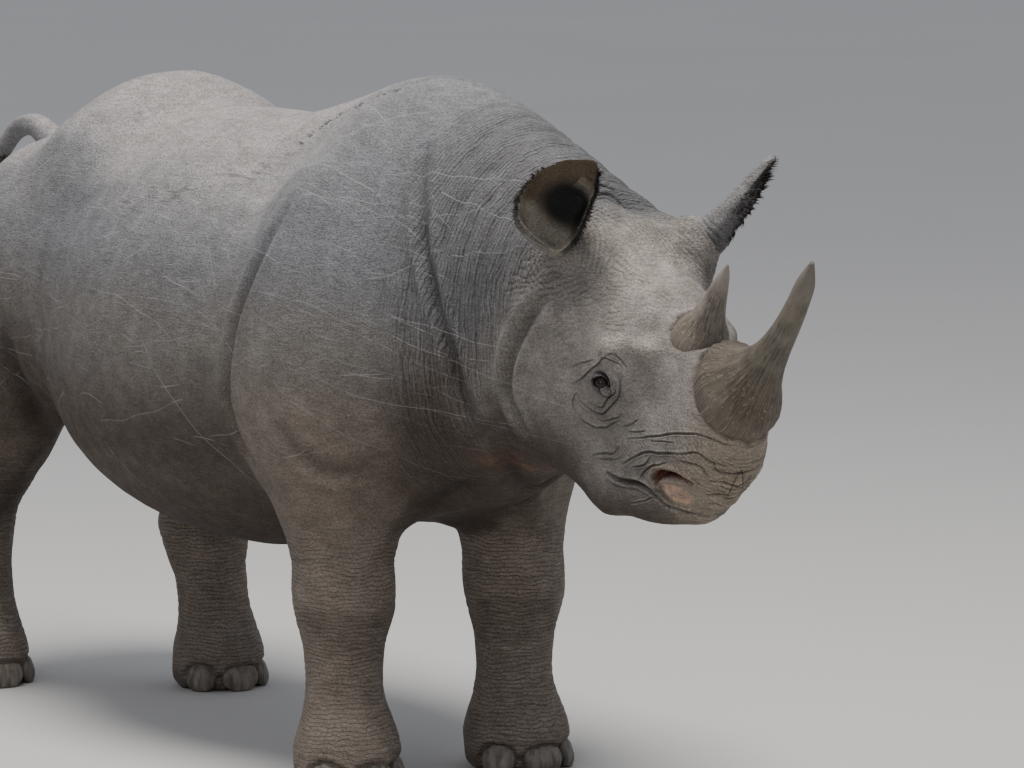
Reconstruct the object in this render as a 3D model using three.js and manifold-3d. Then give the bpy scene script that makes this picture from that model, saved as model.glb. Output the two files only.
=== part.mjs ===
import * as THREE from "three";
import Module from "manifold-3d";

// Black rhinoceros, standing. Millimetres: X toward the nose, Y to the animal's left, Z up,
// floor at z = 0 while it is being shaped.
const WITHERS_HEIGHT = 1560;
const BACK_LOW = 1480;
const CROUP_HEIGHT = 1530;
const BELLY_BOTTOM = 462;
const GAP = 0.4;

// The head's own axes: x along the face from the crown to the muzzle, y left, z out of the face.
const CROWN = new THREE.Vector3(1197, -2, 1312);
const HEAD_TURN = THREE.MathUtils.degToRad(-7.3);
const HEAD_PITCH = THREE.MathUtils.degToRad(33);
const HEAD_ROLL = THREE.MathUtils.degToRad(3.5);

const EYE_AT = [322, 147, -172];
const EYE_RADIUS = 25;
// A horn's widths are shares of its foot's, from its sunken foot to its tip.
const FRONT_HORN = {
  rear: 506,
  front: 700,
  wide: 164,
  length: 439,
  lean: 0.58,
  bend: 0.00064,
  tilt: 0.5,
  widths: [0.94, 1, 0.72, 0.52, 0.4, 0.33, 0.29, 0.26, 0.22, 0.05],
};
const REAR_HORN = {
  rear: 352,
  front: 478,
  wide: 118,
  length: 200,
  lean: 0.12,
  bend: 0,
  tilt: 0,
  widths: [1.02, 1.02, 0.9, 0.66, 0.52, 0.43, 0.35, 0.27, 0.18, 0.03],
};
// Radians: an ear leans out by splay and forward by forward, and its opening turns by turn.
const EARS = {
  right: {
    root: [52, -174, -46],
    splay: -0.25,
    forward: -0.1,
    turn: -0.65,
    length: 240,
    wide: 124,
    deep: 52,
    bow: 0,
  },
  left: {
    root: [76, 151, -45],
    splay: -0.51,
    forward: -0.01,
    turn: 0.86,
    length: 272,
    wide: 80,
    deep: 40,
    bow: 16,
  },
};

// Where each foot stands.
const LEGS = {
  fore_right: { x: 436, y: -222, fore: true },
  fore_left: { x: 462, y: 214, fore: true },
  hind_right: { x: -1195, y: -225, fore: false },
  hind_left: { x: -838, y: 222, fore: false },
};
const LEG_CUT = 515;

// ---- smooth solids given as fields, negative inside -------------------------------------

function ellipsoid(centre, radii, pitch = 0) {
  const c = Math.cos(pitch);
  const s = Math.sin(pitch);
  const [rx, ry, rz] = radii;
  return (x, y, z) => {
    const dx = x - centre[0];
    const dz = z - centre[2];
    const u = (c * dx - s * dz) / rx;
    const v = (y - centre[1]) / ry;
    const w = (s * dx + c * dz) / rz;
    const k = Math.hypot(u, v, w);
    const slope = Math.hypot(u / rx, v / ry, w / rz);
    return slope < 1e-9 ? -Math.min(rx, ry, rz) : (k * (k - 1)) / slope;
  };
}

// A round bar from a to b, ra thick at a and rb at b, squashed sideways by flat.
function limb(a, b, ra, rb, flat = 1) {
  const d = [b[0] - a[0], (b[1] - a[1]) / flat, b[2] - a[2]];
  const long = d[0] * d[0] + d[1] * d[1] + d[2] * d[2];
  return (x, y, z) => {
    const p = [x - a[0], (y - a[1]) / flat, z - a[2]];
    const along = (p[0] * d[0] + p[1] * d[1] + p[2] * d[2]) / long;
    const t = Math.min(1, Math.max(0, along));
    const away = Math.hypot(p[0] - d[0] * t, p[1] - d[1] * t, p[2] - d[2] * t);
    return (away - ra - (rb - ra) * t) * Math.min(1, flat);
  };
}

function soften(a, b, k) {
  const h = Math.max(k - Math.abs(a - b), 0) / k;
  return Math.min(a, b) - h * h * k * 0.25;
}

function blend(fields, k) {
  return (x, y, z) => {
    let value = 1e6;
    for (const field of fields) {
      value = soften(value, field(x, y, z), k);
    }
    return value;
  };
}

// ---- the animal's masses ------------------------------------------------------------------

function trunkField() {
  const middle = (BACK_LOW + BELLY_BOTTOM) / 2;
  const half = (BACK_LOW - BELLY_BOTTOM) / 2;
  const parts = [
    ellipsoid([-190, 0, middle - 6], [830, 432, half - 22]),
    ellipsoid([-230, 0, BELLY_BOTTOM + 340], [620, 415, 330]),
    ellipsoid([440, 0, 960], [430, 335, 375]),
    ellipsoid([370, 0, WITHERS_HEIGHT - 262], [430, 200, 222]),
    ellipsoid([-620, 0, CROUP_HEIGHT - 335], [336, 312, 318]),
    ellipsoid([-930, 0, 1095], [300, 275, 258]),
    ellipsoid([690, 0, 930], [210, 215, 250]),
  ];
  for (const side of [-1, 1]) {
    parts.push(ellipsoid([400, side * 255, 1060], [205, 140, 330], 0.16));
    parts.push(ellipsoid([395, side * 250, 830], [215, 135, 210]));
    parts.push(ellipsoid([-890, side * 210, 1050], [290, 160, 270], -0.2));
    parts.push(ellipsoid([-655, side * 230, 1318], [100, 72, 82]));
  }
  return blend(parts, 110);
}

function forelegField({ x, y }) {
  const side = Math.sign(y);
  return blend([
    limb([380, side * 235, 900], [x - 12, y, 640], 185, 142, 0.86),
    limb([x - 95, y, 735], [x - 30, y, 600], 92, 60, 0.9),
    limb([x - 6, y, 640], [x - 2, y, 440], 142, 108, 0.92),
    ellipsoid([x + 8, y, 420], [106, 100, 92]),
    limb([x - 2, y, 400], [x, y, 190], 96, 88, 0.98),
    ellipsoid([x + 12, y, 92], [122, 118, 96]),
    ellipsoid([x + 10, y, 28], [118, 114, 70]),
  ], 55);
}

function hindlegField({ x, y }) {
  const side = Math.sign(y);
  const knee = [x * 0.7 - 230, y * 1.02, 690];
  const hock = [x - 64, y, 395];
  return blend([
    limb([-920, side * 205, 1000], knee, 222, 160, 0.76),
    limb([-1000, side * 200, 930], [hock[0] + 50, y, 520], 195, 96, 0.78),
    limb(knee, hock, 158, 98, 0.88),
    ellipsoid([hock[0] + 4, y, hock[2] + 10], [92, 80, 100], -0.25),
    limb([hock[0] + 8, y, hock[2] - 10], [x - 4, y, 170], 95, 86, 0.98),
    ellipsoid([x + 8, y, 88], [114, 108, 90]),
    ellipsoid([x + 8, y, 28], [112, 106, 66]),
  ], 55);
}

function neckField() {
  return blend([
    limb([560, 0, 1185], [1010, 0, 1134], 335, 246, 0.82),
    limb([500, 0, 1345], [1080, 0, 1155], 178, 124, 1.0),
    limb([620, 0, 950], [1020, 0, 930], 240, 170, 0.92),
  ], 120);
}

const toWorld = new THREE.Matrix4()
  .makeRotationZ(HEAD_TURN)
  .multiply(new THREE.Matrix4().makeRotationY(HEAD_PITCH))
  .multiply(new THREE.Matrix4().makeRotationX(HEAD_ROLL))
  .setPosition(CROWN);
const toHead = toWorld.clone().invert();

function headField() {
  const parts = [
    limb([50, 0, -152], [285, 0, -132], 148, 142, 0.94),
    limb([300, 0, -138], [590, 0, -118], 138, 98, 0.78),
    limb([130, 0, -318], [500, 0, -296], 122, 90, 0.9),
    ellipsoid([560, 0, -58], [118, 72, 86]),
    ellipsoid([568, -4, -152], [88, 66, 90]),
    limb([590, -4, -182], [650, -8, -216], 66, 34, 0.78),
    ellipsoid([520, 0, -296], [106, 64, 68]),
    ellipsoid([245, 0, -338], [185, 98, 120]),
    ellipsoid([435, 0, -62], [92, 54, 80]),
    ellipsoid([36, -8, -58], [98, 92, 70]),
    ellipsoid([92, 122, -80], [74, 54, 54]),
    limb([56, 122, -62], [66, 163, -10], 60, 36, 1),
  ];
  for (const side of [-1, 1]) {
    parts.push(ellipsoid([160, side * 88, -270], [165, 72, 165]));
    parts.push(ellipsoid([290, side * 80 - 12, -92], [80, 42, 44], 0.2));
    parts.push(ellipsoid([-10, side * 104, -92], [60, 46, 50]));
    parts.push(ellipsoid([312, side * 98 - 9, -168], [68, 45, 66]));
    parts.push(ellipsoid([572, side * 57 - 5, -170], [58, 36, 50]));
    parts.push(ellipsoid([425, side * 66, -222], [125, 42, 78]));
    parts.push(ellipsoid([350, side * 74, -276], [110, 42, 70]));
    parts.push(ellipsoid([468, side * 56, -280], [90, 38, 56]));
    parts.push(ellipsoid([296, side * 80, -424], [162, 54, 92]));
    parts.push(ellipsoid([440, side * 58, -362], [100, 46, 62]));
    parts.push(ellipsoid([190, side * 84, -398], [118, 48, 80]));
  }
  const local = blend(parts, 62);
  const m = toHead.elements;
  return (x, y, z) => local(
    m[0] * x + m[4] * y + m[8] * z + m[12],
    m[1] * x + m[5] * y + m[9] * z + m[13],
    m[2] * x + m[6] * y + m[10] * z + m[14],
  );
}

// ---- from fields to closed meshes ------------------------------------------------------------

// One vertex in each grid cell the surface crosses, pulled onto the surface, and one square
// round each grid edge that it crosses.
function polygonise(field, low, high, cell) {
  const n = [0, 1, 2].map((i) => Math.ceil((high[i] - low[i]) / cell[i]));
  const size = [n[0] + 1, n[1] + 1, n[2] + 1];
  const node = (i, j, k) => (i * size[1] + j) * size[2] + k;
  const value = new Float64Array(size[0] * size[1] * size[2]);
  for (let i = 0; i < size[0]; i++) {
    for (let j = 0; j < size[1]; j++) {
      for (let k = 0; k < size[2]; k++) {
        const rim = i === 0 || j === 0 || k === 0 || i === n[0] || j === n[1] || k === n[2];
        const at = [low[0] + i * cell[0], low[1] + j * cell[1], low[2] + k * cell[2]];
        value[node(i, j, k)] = rim ? 1e3 : field(...at);
      }
    }
  }
  const vertices = [];
  const triangles = [];
  const vertexOf = new Map();
  const vertexIn = (i, j, k) => {
    const key = node(i, j, k);
    if (vertexOf.has(key)) return vertexOf.get(key);
    const sum = [0, 0, 0];
    let crossings = 0;
    for (let axis = 0; axis < 3; axis++) {
      for (let corner = 0; corner < 4; corner++) {
        const a = [i, j, k];
        a[(axis + 1) % 3] += corner & 1;
        a[(axis + 2) % 3] += corner >> 1;
        const b = [...a];
        b[axis] += 1;
        const va = value[node(...a)];
        const vb = value[node(...b)];
        if (va < 0 === vb < 0) continue;
        const t = va / (va - vb);
        for (let c = 0; c < 3; c++) {
          sum[c] += low[c] + (a[c] + t * (b[c] - a[c])) * cell[c];
        }
        crossings += 1;
      }
    }
    const at = settle(field, sum.map((s) => s / crossings), Math.min(...cell) * 0.45);
    const index = vertices.length / 3;
    vertices.push(...at);
    vertexOf.set(key, index);
    return index;
  };
  for (let i = 0; i < n[0]; i++) {
    for (let j = 0; j < n[1]; j++) {
      for (let k = 0; k < n[2]; k++) {
        for (let axis = 0; axis < 3; axis++) {
          const b = [i, j, k];
          b[axis] += 1;
          const inside = value[node(i, j, k)] < 0;
          if (inside === value[node(...b)] < 0) continue;
          const ring = [[0, 0], [-1, 0], [-1, -1], [0, -1]].map(([p, q]) => {
            const c = [i, j, k];
            c[(axis + 1) % 3] += p;
            c[(axis + 2) % 3] += q;
            return vertexIn(...c);
          });
          if (!inside) ring.reverse();
          triangles.push(...squareSplit(vertices, ring));
        }
      }
    }
  }
  return relax(field, { vertices, triangles }, Math.min(...cell) * 0.45);
}

// Evens out the triangles: each vertex goes to the middle of its neighbours, then back down
// onto the surface.
function relax(field, { vertices, triangles }, reach) {
  let even = vertices;
  for (let round = 0; round < 3; round++) {
    const sum = even.map(() => 0);
    const count = new Array(even.length / 3).fill(0);
    for (let t = 0; t < triangles.length; t++) {
      const next = triangles[t % 3 === 2 ? t - 2 : t + 1];
      count[triangles[t]] += 1;
      for (let c = 0; c < 3; c++) {
        sum[3 * triangles[t] + c] += even[3 * next + c];
      }
    }
    even = count.flatMap((n, v) => settle(
      field,
      [0, 1, 2].map((c) => sum[3 * v + c] / n),
      reach,
    ));
  }
  return { vertices: even, triangles };
}

function settle(field, start, reach) {
  const at = [...start];
  const h = 0.5;
  for (let round = 0; round < 4; round++) {
    const value = field(...at);
    const slope = [0, 1, 2].map((c) => {
      const ahead = [...at];
      ahead[c] += h;
      return (field(...ahead) - value) / h;
    });
    const steep = slope[0] ** 2 + slope[1] ** 2 + slope[2] ** 2;
    if (steep < 1e-6) break;
    for (let c = 0; c < 3; c++) {
      at[c] -= (value * slope[c]) / steep;
    }
  }
  const moved = Math.hypot(at[0] - start[0], at[1] - start[1], at[2] - start[2]);
  return moved > reach ? start : at;
}

function squareSplit(vertices, [a, b, c, d]) {
  const gap = (p, q) => Math.hypot(
    vertices[3 * p] - vertices[3 * q],
    vertices[3 * p + 1] - vertices[3 * q + 1],
    vertices[3 * p + 2] - vertices[3 * q + 2],
  );
  if (gap(a, c) < gap(b, d)) return [a, b, c, a, c, d];
  return [a, b, d, b, c, d];
}

// A closed skin over equal rings of points, each end closed by a fan to its middle.
function loft(rings) {
  const around = rings[0].length;
  const vertices = rings.flat().flatMap((p) => [p.x, p.y, p.z]);
  const triangles = [];
  for (let r = 0; r + 1 < rings.length; r++) {
    for (let s = 0; s < around; s++) {
      const a = r * around + s;
      const b = r * around + ((s + 1) % around);
      triangles.push(a, b, b + around, a, b + around, a + around);
    }
  }
  const ends = [
    [rings[0], 0, true],
    [rings.at(-1), (rings.length - 1) * around, false],
  ];
  for (const [ring, base, outward] of ends) {
    const middle = ring.reduce((sum, p) => sum.add(p), new THREE.Vector3()).divideScalar(around);
    const hub = vertices.length / 3;
    vertices.push(middle.x, middle.y, middle.z);
    for (let s = 0; s < around; s++) {
      const a = base + s;
      const b = base + ((s + 1) % around);
      triangles.push(...(outward ? [hub, b, a] : [hub, a, b]));
    }
  }
  return { vertices, triangles };
}

const wasm = await Module();
wasm.setup();

function solid({ vertices, triangles }) {
  return new wasm.Manifold(new wasm.Mesh({
    numProp: 3,
    vertProperties: new Float32Array(vertices),
    triVerts: new Uint32Array(triangles),
  }));
}

function shapeToSolid(geometry) {
  const flat = geometry.index ? geometry.toNonIndexed() : geometry;
  const position = flat.getAttribute("position");
  const vertices = [];
  const triangles = [];
  const known = new Map();
  for (let i = 0; i < position.count; i++) {
    const at = [position.getX(i), position.getY(i), position.getZ(i)];
    const key = at.map((v) => Math.round(v * 1e3)).join();
    if (!known.has(key)) {
      known.set(key, vertices.length / 3);
      vertices.push(...at);
    }
    triangles.push(known.get(key));
  }
  const kept = [];
  for (let t = 0; t < triangles.length; t += 3) {
    const [a, b, c] = triangles.slice(t, t + 3);
    if (a !== b && b !== c && a !== c) kept.push(a, b, c);
  }
  return solid({ vertices, triangles: kept });
}

// Cutting can leave a chip loose beside the piece that is wanted.
function largest(shape) {
  return shape.decompose().reduce((a, b) => (b.volume() > a.volume() ? b : a));
}

// The same mesh with each vertex moved outward by one distance.
function grown({ vertices, triangles }, by) {
  const geometry = new THREE.BufferGeometry();
  geometry.setAttribute("position", new THREE.BufferAttribute(new Float32Array(vertices), 3));
  geometry.setIndex(triangles);
  geometry.computeVertexNormals();
  const normal = geometry.getAttribute("normal").array;
  return { vertices: vertices.map((v, i) => v + normal[i] * by), triangles };
}

function box(low, high) {
  const geometry = new THREE.BoxGeometry(high[0] - low[0], high[1] - low[1], high[2] - low[2]);
  geometry.translate((low[0] + high[0]) / 2, (low[1] + high[1]) / 2, (low[2] + high[2]) / 2);
  return shapeToSolid(geometry);
}

// Everything more than shift beyond the flat through point, on the side the normal points to.
function beyond(point, normal, shift) {
  const reach = 4000;
  const geometry = new THREE.BoxGeometry(reach, reach, reach);
  geometry.translate(0, 0, reach / 2 + shift);
  const turn = new THREE.Quaternion().setFromUnitVectors(
    new THREE.Vector3(0, 0, 1),
    normal.clone().normalize(),
  );
  geometry.applyQuaternion(turn);
  geometry.translate(point.x, point.y, point.z);
  return shapeToSolid(geometry);
}

// ---- horns, ears, eyes, tail and toenails ---------------------------------------------------

const headPoint = (x, y, z) => new THREE.Vector3(x, y, z).applyMatrix4(toWorld);

// A horn stands on the face and curves forward, then straightens; tilt sets its foot lower in
// front than behind.
function horn({ rear, front, wide, length, lean, bend, tilt, widths }) {
  const around = 12;
  const middle = (rear + front) / 2;
  const rings = widths.map((share, r) => {
    const height = -45 + ((length + 45) * r) / (widths.length - 1);
    const up = Math.max(0, height / length);
    const x = middle + lean * height - bend * height * height;
    const ring = [];
    for (let s = 0; s < around; s++) {
      const a = (s / around) * Math.PI * 2;
      const ahead = ((front - rear) / 2) * share * Math.cos(a);
      const sideways = (wide / 2) * share * Math.sin(a);
      ring.push(headPoint(x + ahead, sideways, 20 + height - tilt * ahead * Math.exp(-4 * up)));
    }
    return ring;
  });
  return solid(loft(rings));
}

// An egg-shaped bowl: rings from its closed bottom to its tip, bowed forward by bow. Its rear
// edge bulges by wide and its front edge by narrow.
function egg({ length, wide, narrow, deep, lift, bow }, place, rearSide) {
  const rings = [];
  const steps = 8;
  const around = 12;
  for (let r = 0; r <= steps; r++) {
    const t = 0.01 + (0.98 * r) / steps;
    const swell = (1 - Math.abs(2 * t ** 0.7 - 1) ** 2.3) ** 0.6;
    const ring = [];
    for (let s = 0; s < around; s++) {
      const a = (s / around) * Math.PI * 2;
      const reach = Math.sin(a) * rearSide > 0 ? wide : narrow;
      const p = new THREE.Vector3(
        deep * swell * Math.cos(a) + lift + bow * Math.sin(Math.PI * t),
        reach * swell * Math.sin(a),
        length * t,
      );
      ring.push(p.applyMatrix4(place));
    }
    rings.push(ring);
  }
  return solid(loft(rings));
}

// The ear is a bowl with a thin wall, open toward its own +x.
function ear(side) {
  const shape = side < 0 ? EARS.right : EARS.left;
  const { root, splay, forward, turn, length, wide, deep, bow } = shape;
  const place = toWorld.clone().multiply(new THREE.Matrix4().makeTranslation(...root))
    .multiply(new THREE.Matrix4().makeRotationX(splay))
    .multiply(new THREE.Matrix4().makeRotationY(forward))
    .multiply(new THREE.Matrix4().makeRotationZ(turn));
  const outer = egg({ length, wide, narrow: 32, deep, lift: 0, bow }, place, side);
  const raised = place.clone().multiply(new THREE.Matrix4().makeTranslation(0, 0, 24));
  const hollow = { length: length - 16, wide: wide - 9, narrow: 23, deep, lift: 16, bow };
  return outer.subtract(egg(hollow, raised, side));
}

function eye(side, grow) {
  const ball = new THREE.SphereGeometry(EYE_RADIUS + grow, 10, 7);
  const at = headPoint(EYE_AT[0], side * EYE_AT[1], EYE_AT[2]);
  ball.translate(at.x, at.y, at.z);
  return shapeToSolid(ball);
}

function tailLine() {
  return new THREE.CatmullRomCurve3([
    new THREE.Vector3(-1070, 0, 1250),
    new THREE.Vector3(-1190, 4, 1285),
    new THREE.Vector3(-1310, 8, 1335),
    new THREE.Vector3(-1410, 8, 1318),
    new THREE.Vector3(-1498, 0, 1225),
    new THREE.Vector3(-1543, -8, 1120),
  ]);
}

function tailLength(line, from, to) {
  const rings = [];
  const steps = 5;
  const around = 9;
  for (let r = 0; r <= steps; r++) {
    const t = from + ((to - from) * r) / steps;
    const at = line.getPointAt(t);
    const along = line.getTangentAt(t);
    const side = new THREE.Vector3(0, 1, 0).cross(along).normalize();
    const up = along.clone().cross(side);
    const radius = 34 * (1 - t) ** 1.2 + 15 + 5 * Math.exp(-(((t - 1) / 0.16) ** 2));
    const ring = [];
    for (let s = 0; s < around; s++) {
      const a = (s / around) * Math.PI * 2;
      ring.push(at.clone()
        .addScaledVector(side, radius * Math.cos(a) * 0.92)
        .addScaledVector(up, radius * Math.sin(a)));
    }
    rings.push(ring);
  }
  return solid(loft(rings));
}

// Three nails round the front of each foot: the middle one is the broadest.
function nails({ x, y, fore }, grow) {
  const reach = fore ? 118 : 109;
  return [-1, 0, 1].map((toe) => {
    const angle = toe * 0.98;
    const ball = new THREE.SphereGeometry(1, 7, 5);
    ball.scale(24 + grow, (toe === 0 ? 52 : 42) + grow, 46 + grow);
    ball.rotateY(-0.3);
    ball.translate(reach - 12, 0, 34);
    ball.rotateZ(angle);
    ball.translate(x + 12, y, 0);
    return shapeToSolid(ball).intersect(box([x - 400, y - 400, 0], [x + 400, y + 400, 200]));
  });
}

// ---- putting the body together ---------------------------------------------------------------

function bodyField() {
  const legs = Object.values(LEGS).map((leg) => (leg.fore ? forelegField(leg) : hindlegField(leg)));
  const trunk = trunkField();
  const neck = neckField();
  const head = headField();
  return (x, y, z) => {
    let value = soften(trunk(x, y, z), neck(x, y, z), 130);
    for (const leg of legs) {
      value = soften(value, leg(x, y, z), 70);
    }
    return soften(value, head(x, y, z), 90);
  };
}

function legRegion({ x, y, fore }, grow) {
  const back = fore ? x - 155 : x - 260;
  const front = fore ? 760 : x + 215;
  const near = Math.sign(y) * (30 - grow);
  const far = Math.sign(y) * (480 + grow);
  return box(
    [back - grow, Math.min(near, far), 0],
    [front + grow, Math.max(near, far), LEG_CUT + grow],
  );
}

function animal() {
  const field = bodyField();
  const shapes = new Map();

  const faceward = new THREE.Vector3(0.97, 0, -0.245);
  const neckEnd = new THREE.Vector3(1030, 0, 1100);
  const neckStart = new THREE.Vector3(762, 0, 1180);
  const chestward = new THREE.Vector3(0.985, 0, -0.17);

  const whole = polygonise(field, [-1390, -560, 250], [1000, 560, 1680], [120, 94, 92]);
  const skull = polygonise(field, [840, -330, 540], [1860, 330, 1480], [44, 42, 44]);
  const throat = polygonise(field, [470, -460, 420], [1420, 460, 1640], [74, 68, 72]);
  let trunk = solid(whole).subtract(beyond(neckStart, chestward, -GAP / 2));
  const neck = solid(throat)
    .intersect(beyond(neckStart, chestward, GAP / 2))
    .subtract(beyond(neckEnd, faceward, -GAP / 2));
  let head = solid(skull).intersect(beyond(neckEnd, faceward, GAP / 2));
  const aroundHead = solid(grown(skull, GAP));

  for (const [name, leg] of Object.entries(LEGS)) {
    const low = [leg.x - 420, leg.y - 300, -90];
    const high = [leg.x + 420, leg.y + 300, LEG_CUT + 130];
    let shape = solid(polygonise(field, low, high, [66, 64, 70])).intersect(legRegion(leg, 0));
    trunk = trunk.subtract(legRegion(leg, GAP));
    nails(leg, GAP).forEach((nail) => {
      shape = shape.subtract(nail);
    });
    nails(leg, 0).forEach((nail, i) => shapes.set(`nail_${name}_${i + 1}`, nail));
    shapes.set(`leg_${name}`, shape);
  }

  const line = tailLine();
  const joint = GAP / line.getLength();
  shapes.set("tail_base", tailLength(line, 0, 0.42).subtract(solid(grown(whole, GAP))));
  shapes.set("tail_middle", tailLength(line, 0.42 + joint, 0.72));
  shapes.set("tail_tip", tailLength(line, 0.72 + joint, 1));

  shapes.set("horn_front", horn(FRONT_HORN).subtract(aroundHead));
  shapes.set("horn_rear", horn(REAR_HORN).subtract(aroundHead));
  for (const [name, side] of [["right", -1], ["left", 1]]) {
    shapes.set(`ear_${name}`, largest(ear(side).subtract(aroundHead)));
    shapes.set(`eye_${name}`, eye(side, 0));
    head = head.subtract(eye(side, GAP));
  }
  shapes.set("head", head);
  shapes.set("neck", neck);
  shapes.set("trunk", trunk);
  return shapes;
}

const TONES = { horn: 0x4a4038, nail: 0x5d5348, eye: 0x1c1512, ear: 0x7d7268 };
const HIDE_TONE = 0x857b72;

function toGroup(shapes) {
  const group = new THREE.Group();
  const bounds = new THREE.Box3();
  for (const [name, shape] of shapes) {
    const mesh = shape.getMesh();
    const geometry = new THREE.BufferGeometry();
    const points = new Float32Array(mesh.vertProperties);
    geometry.setAttribute("position", new THREE.BufferAttribute(points, 3));
    geometry.setIndex(new THREE.BufferAttribute(new Uint32Array(mesh.triVerts), 1));
    geometry.computeBoundingBox();
    bounds.union(geometry.boundingBox);
    const tone = TONES[name.split("_")[0]] ?? HIDE_TONE;
    const material = new THREE.MeshStandardMaterial({ color: tone, roughness: 0.85 });
    const piece = new THREE.Mesh(geometry, material);
    piece.name = name;
    group.add(piece);
  }
  const middle = bounds.getCenter(new THREE.Vector3());
  for (const piece of group.children) {
    piece.geometry.translate(-middle.x, -middle.y, -bounds.min.z);
    piece.geometry.computeVertexNormals();
  }
  group.name = "rhinoceros";
  return group;
}

export default toGroup(animal());
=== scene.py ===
"""A black rhinoceros, life size, standing on a pale floor. Metres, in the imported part's frame."""
import math

import bpy
import numpy as np
from mathutils import Matrix, Vector
from mathutils.bvhtree import BVHTree


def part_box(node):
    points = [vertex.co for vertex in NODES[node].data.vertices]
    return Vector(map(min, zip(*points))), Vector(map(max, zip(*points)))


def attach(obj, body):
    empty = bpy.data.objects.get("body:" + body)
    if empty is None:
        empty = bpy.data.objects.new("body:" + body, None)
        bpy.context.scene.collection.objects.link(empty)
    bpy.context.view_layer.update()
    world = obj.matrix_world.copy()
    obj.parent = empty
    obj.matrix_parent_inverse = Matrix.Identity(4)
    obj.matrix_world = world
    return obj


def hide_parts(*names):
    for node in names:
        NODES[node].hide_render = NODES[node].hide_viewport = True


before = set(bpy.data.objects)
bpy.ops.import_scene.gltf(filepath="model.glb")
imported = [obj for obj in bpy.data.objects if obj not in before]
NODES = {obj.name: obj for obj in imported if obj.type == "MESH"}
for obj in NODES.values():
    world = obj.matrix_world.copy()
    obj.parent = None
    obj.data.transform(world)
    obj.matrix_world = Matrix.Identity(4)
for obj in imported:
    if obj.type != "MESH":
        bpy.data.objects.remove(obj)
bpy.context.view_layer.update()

# ---- sizes ----------------------------------------------------------------------------------

SKIN_VOXEL = 0.006
RIB_APART = 0.088
LEG_RINGS_APART = 0.021
NECK_LINES_APART = 0.0135
NECK_FOLDS_APART = 0.062
EAR_RINGS_APART = 0.0125
SCRATCHES = 600
SCRATCH_REACH = 0.016
EAR_HAIRS = 1100
TAIL_HAIRS = 380
LASHES = 60
# The head's own axes, as in the part: turned, pitched and rolled from the row's axes.
HEAD_TURN = math.radians(-7.3)
HEAD_PITCH = math.radians(33)
HEAD_ROLL = math.radians(3.5)
# Where the eyes' middle lies in the head's axes: x along the face, y left, z out of the face.
EYES_MIDDLE = np.array([0.322, 0.0, -0.172])

CAMERA_AT = (11.910, -7.679, 2.600)
CAMERA_AZIMUTH = math.radians(56)
CAMERA_DOWN = math.radians(7.007)
CAMERA_LENS = 223.24

LEGS = ("leg_fore_right", "leg_fore_left", "leg_hind_right", "leg_hind_left")
TAIL = ("tail_base", "tail_middle", "tail_tip")
EARS = ("ear_right", "ear_left")
FLESH = ("trunk", "neck", "head") + LEGS + TAIL + EARS

rng = np.random.default_rng(41)

# ---- small tools for arrays of points -----------------------------------------------------------


def cad_arrays(*names):
    """Corners and triangles of CAD nodes, joined."""
    points = []
    faces = []
    count = 0
    for name in names:
        mesh = NODES[name].data
        mesh.calc_loop_triangles()
        co = np.zeros(len(mesh.vertices) * 3, np.float32)
        mesh.vertices.foreach_get("co", co)
        tri = np.zeros(len(mesh.loop_triangles) * 3, np.int32)
        mesh.loop_triangles.foreach_get("vertices", tri)
        points.append(co.reshape(-1, 3))
        faces.append(tri.reshape(-1, 3) + count)
        count += len(co) // 3
    return np.concatenate(points).astype(float), np.concatenate(faces)


def noise(points, size, seed=0):
    """Smooth random field from -1 to 1 whose lumps are about size across.

    Each corner of a grid of cells gets a number hashed from its place and the seed.
    """
    q = np.asarray(points) / size + seed * 7.31
    cell = np.floor(q).astype(np.int64)
    f = q - cell
    f = f * f * (3 - 2 * f)
    total = np.zeros(len(q))
    for corner in range(8):
        offset = np.array([corner & 1, corner >> 1 & 1, corner >> 2])
        c = cell + offset
        h = (c[:, 0] * 73856093 ^ c[:, 1] * 19349663 ^ c[:, 2] * 83492791 ^ seed * 2654435) & 0xFFFFFFFF
        h = ((h ^ h >> 13) * 1274126177) & 0xFFFFFFFF
        h = ((h ^ h >> 15) * 2246822519) & 0xFFFFFFFF
        weight = np.abs(1 - offset - f).prod(axis=1)
        total += weight * (h >> 8 & 0xFFFF) / 65535
    return total * 2 - 1


def clouds(points, size, seed=0, layers=3):
    """Noise in layers, each half the size and half the strength of the one before."""
    total = np.zeros(len(points))
    for layer in range(layers):
        total += noise(points, size / 2 ** layer, seed + 5 * layer) / 2 ** layer
    return total / 1.5


def step(value, start, end):
    """0 before start, 1 after end, smooth between; start may be more than end."""
    t = np.clip((value - start) / (end - start), 0, 1)
    return t * t * (3 - 2 * t)


def hill(distance, width):
    """1 at no distance, falling to nothing over about twice the width."""
    return np.exp(-(distance / width) ** 2)


def path_distance(points, path):
    """Distance to a line through path's points, and how far along it from 0 to 1."""
    path = np.asarray(path, float)
    parts = np.linalg.norm(np.diff(path, axis=0), axis=1)
    start = np.concatenate([[0], np.cumsum(parts)])
    best = np.full(len(points), 1e9)
    along = np.zeros(len(points))
    for k in range(len(parts)):
        d = path[k + 1] - path[k]
        t = np.clip((points - path[k]) @ d / (d @ d), 0, 1)
        away = np.linalg.norm(points - path[k] - t[:, None] * d, axis=1)
        closer = away < best
        best[closer] = away[closer]
        along[closer] = (start[k] + t[closer] * parts[k]) / start[-1]
    return best, along


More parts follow.
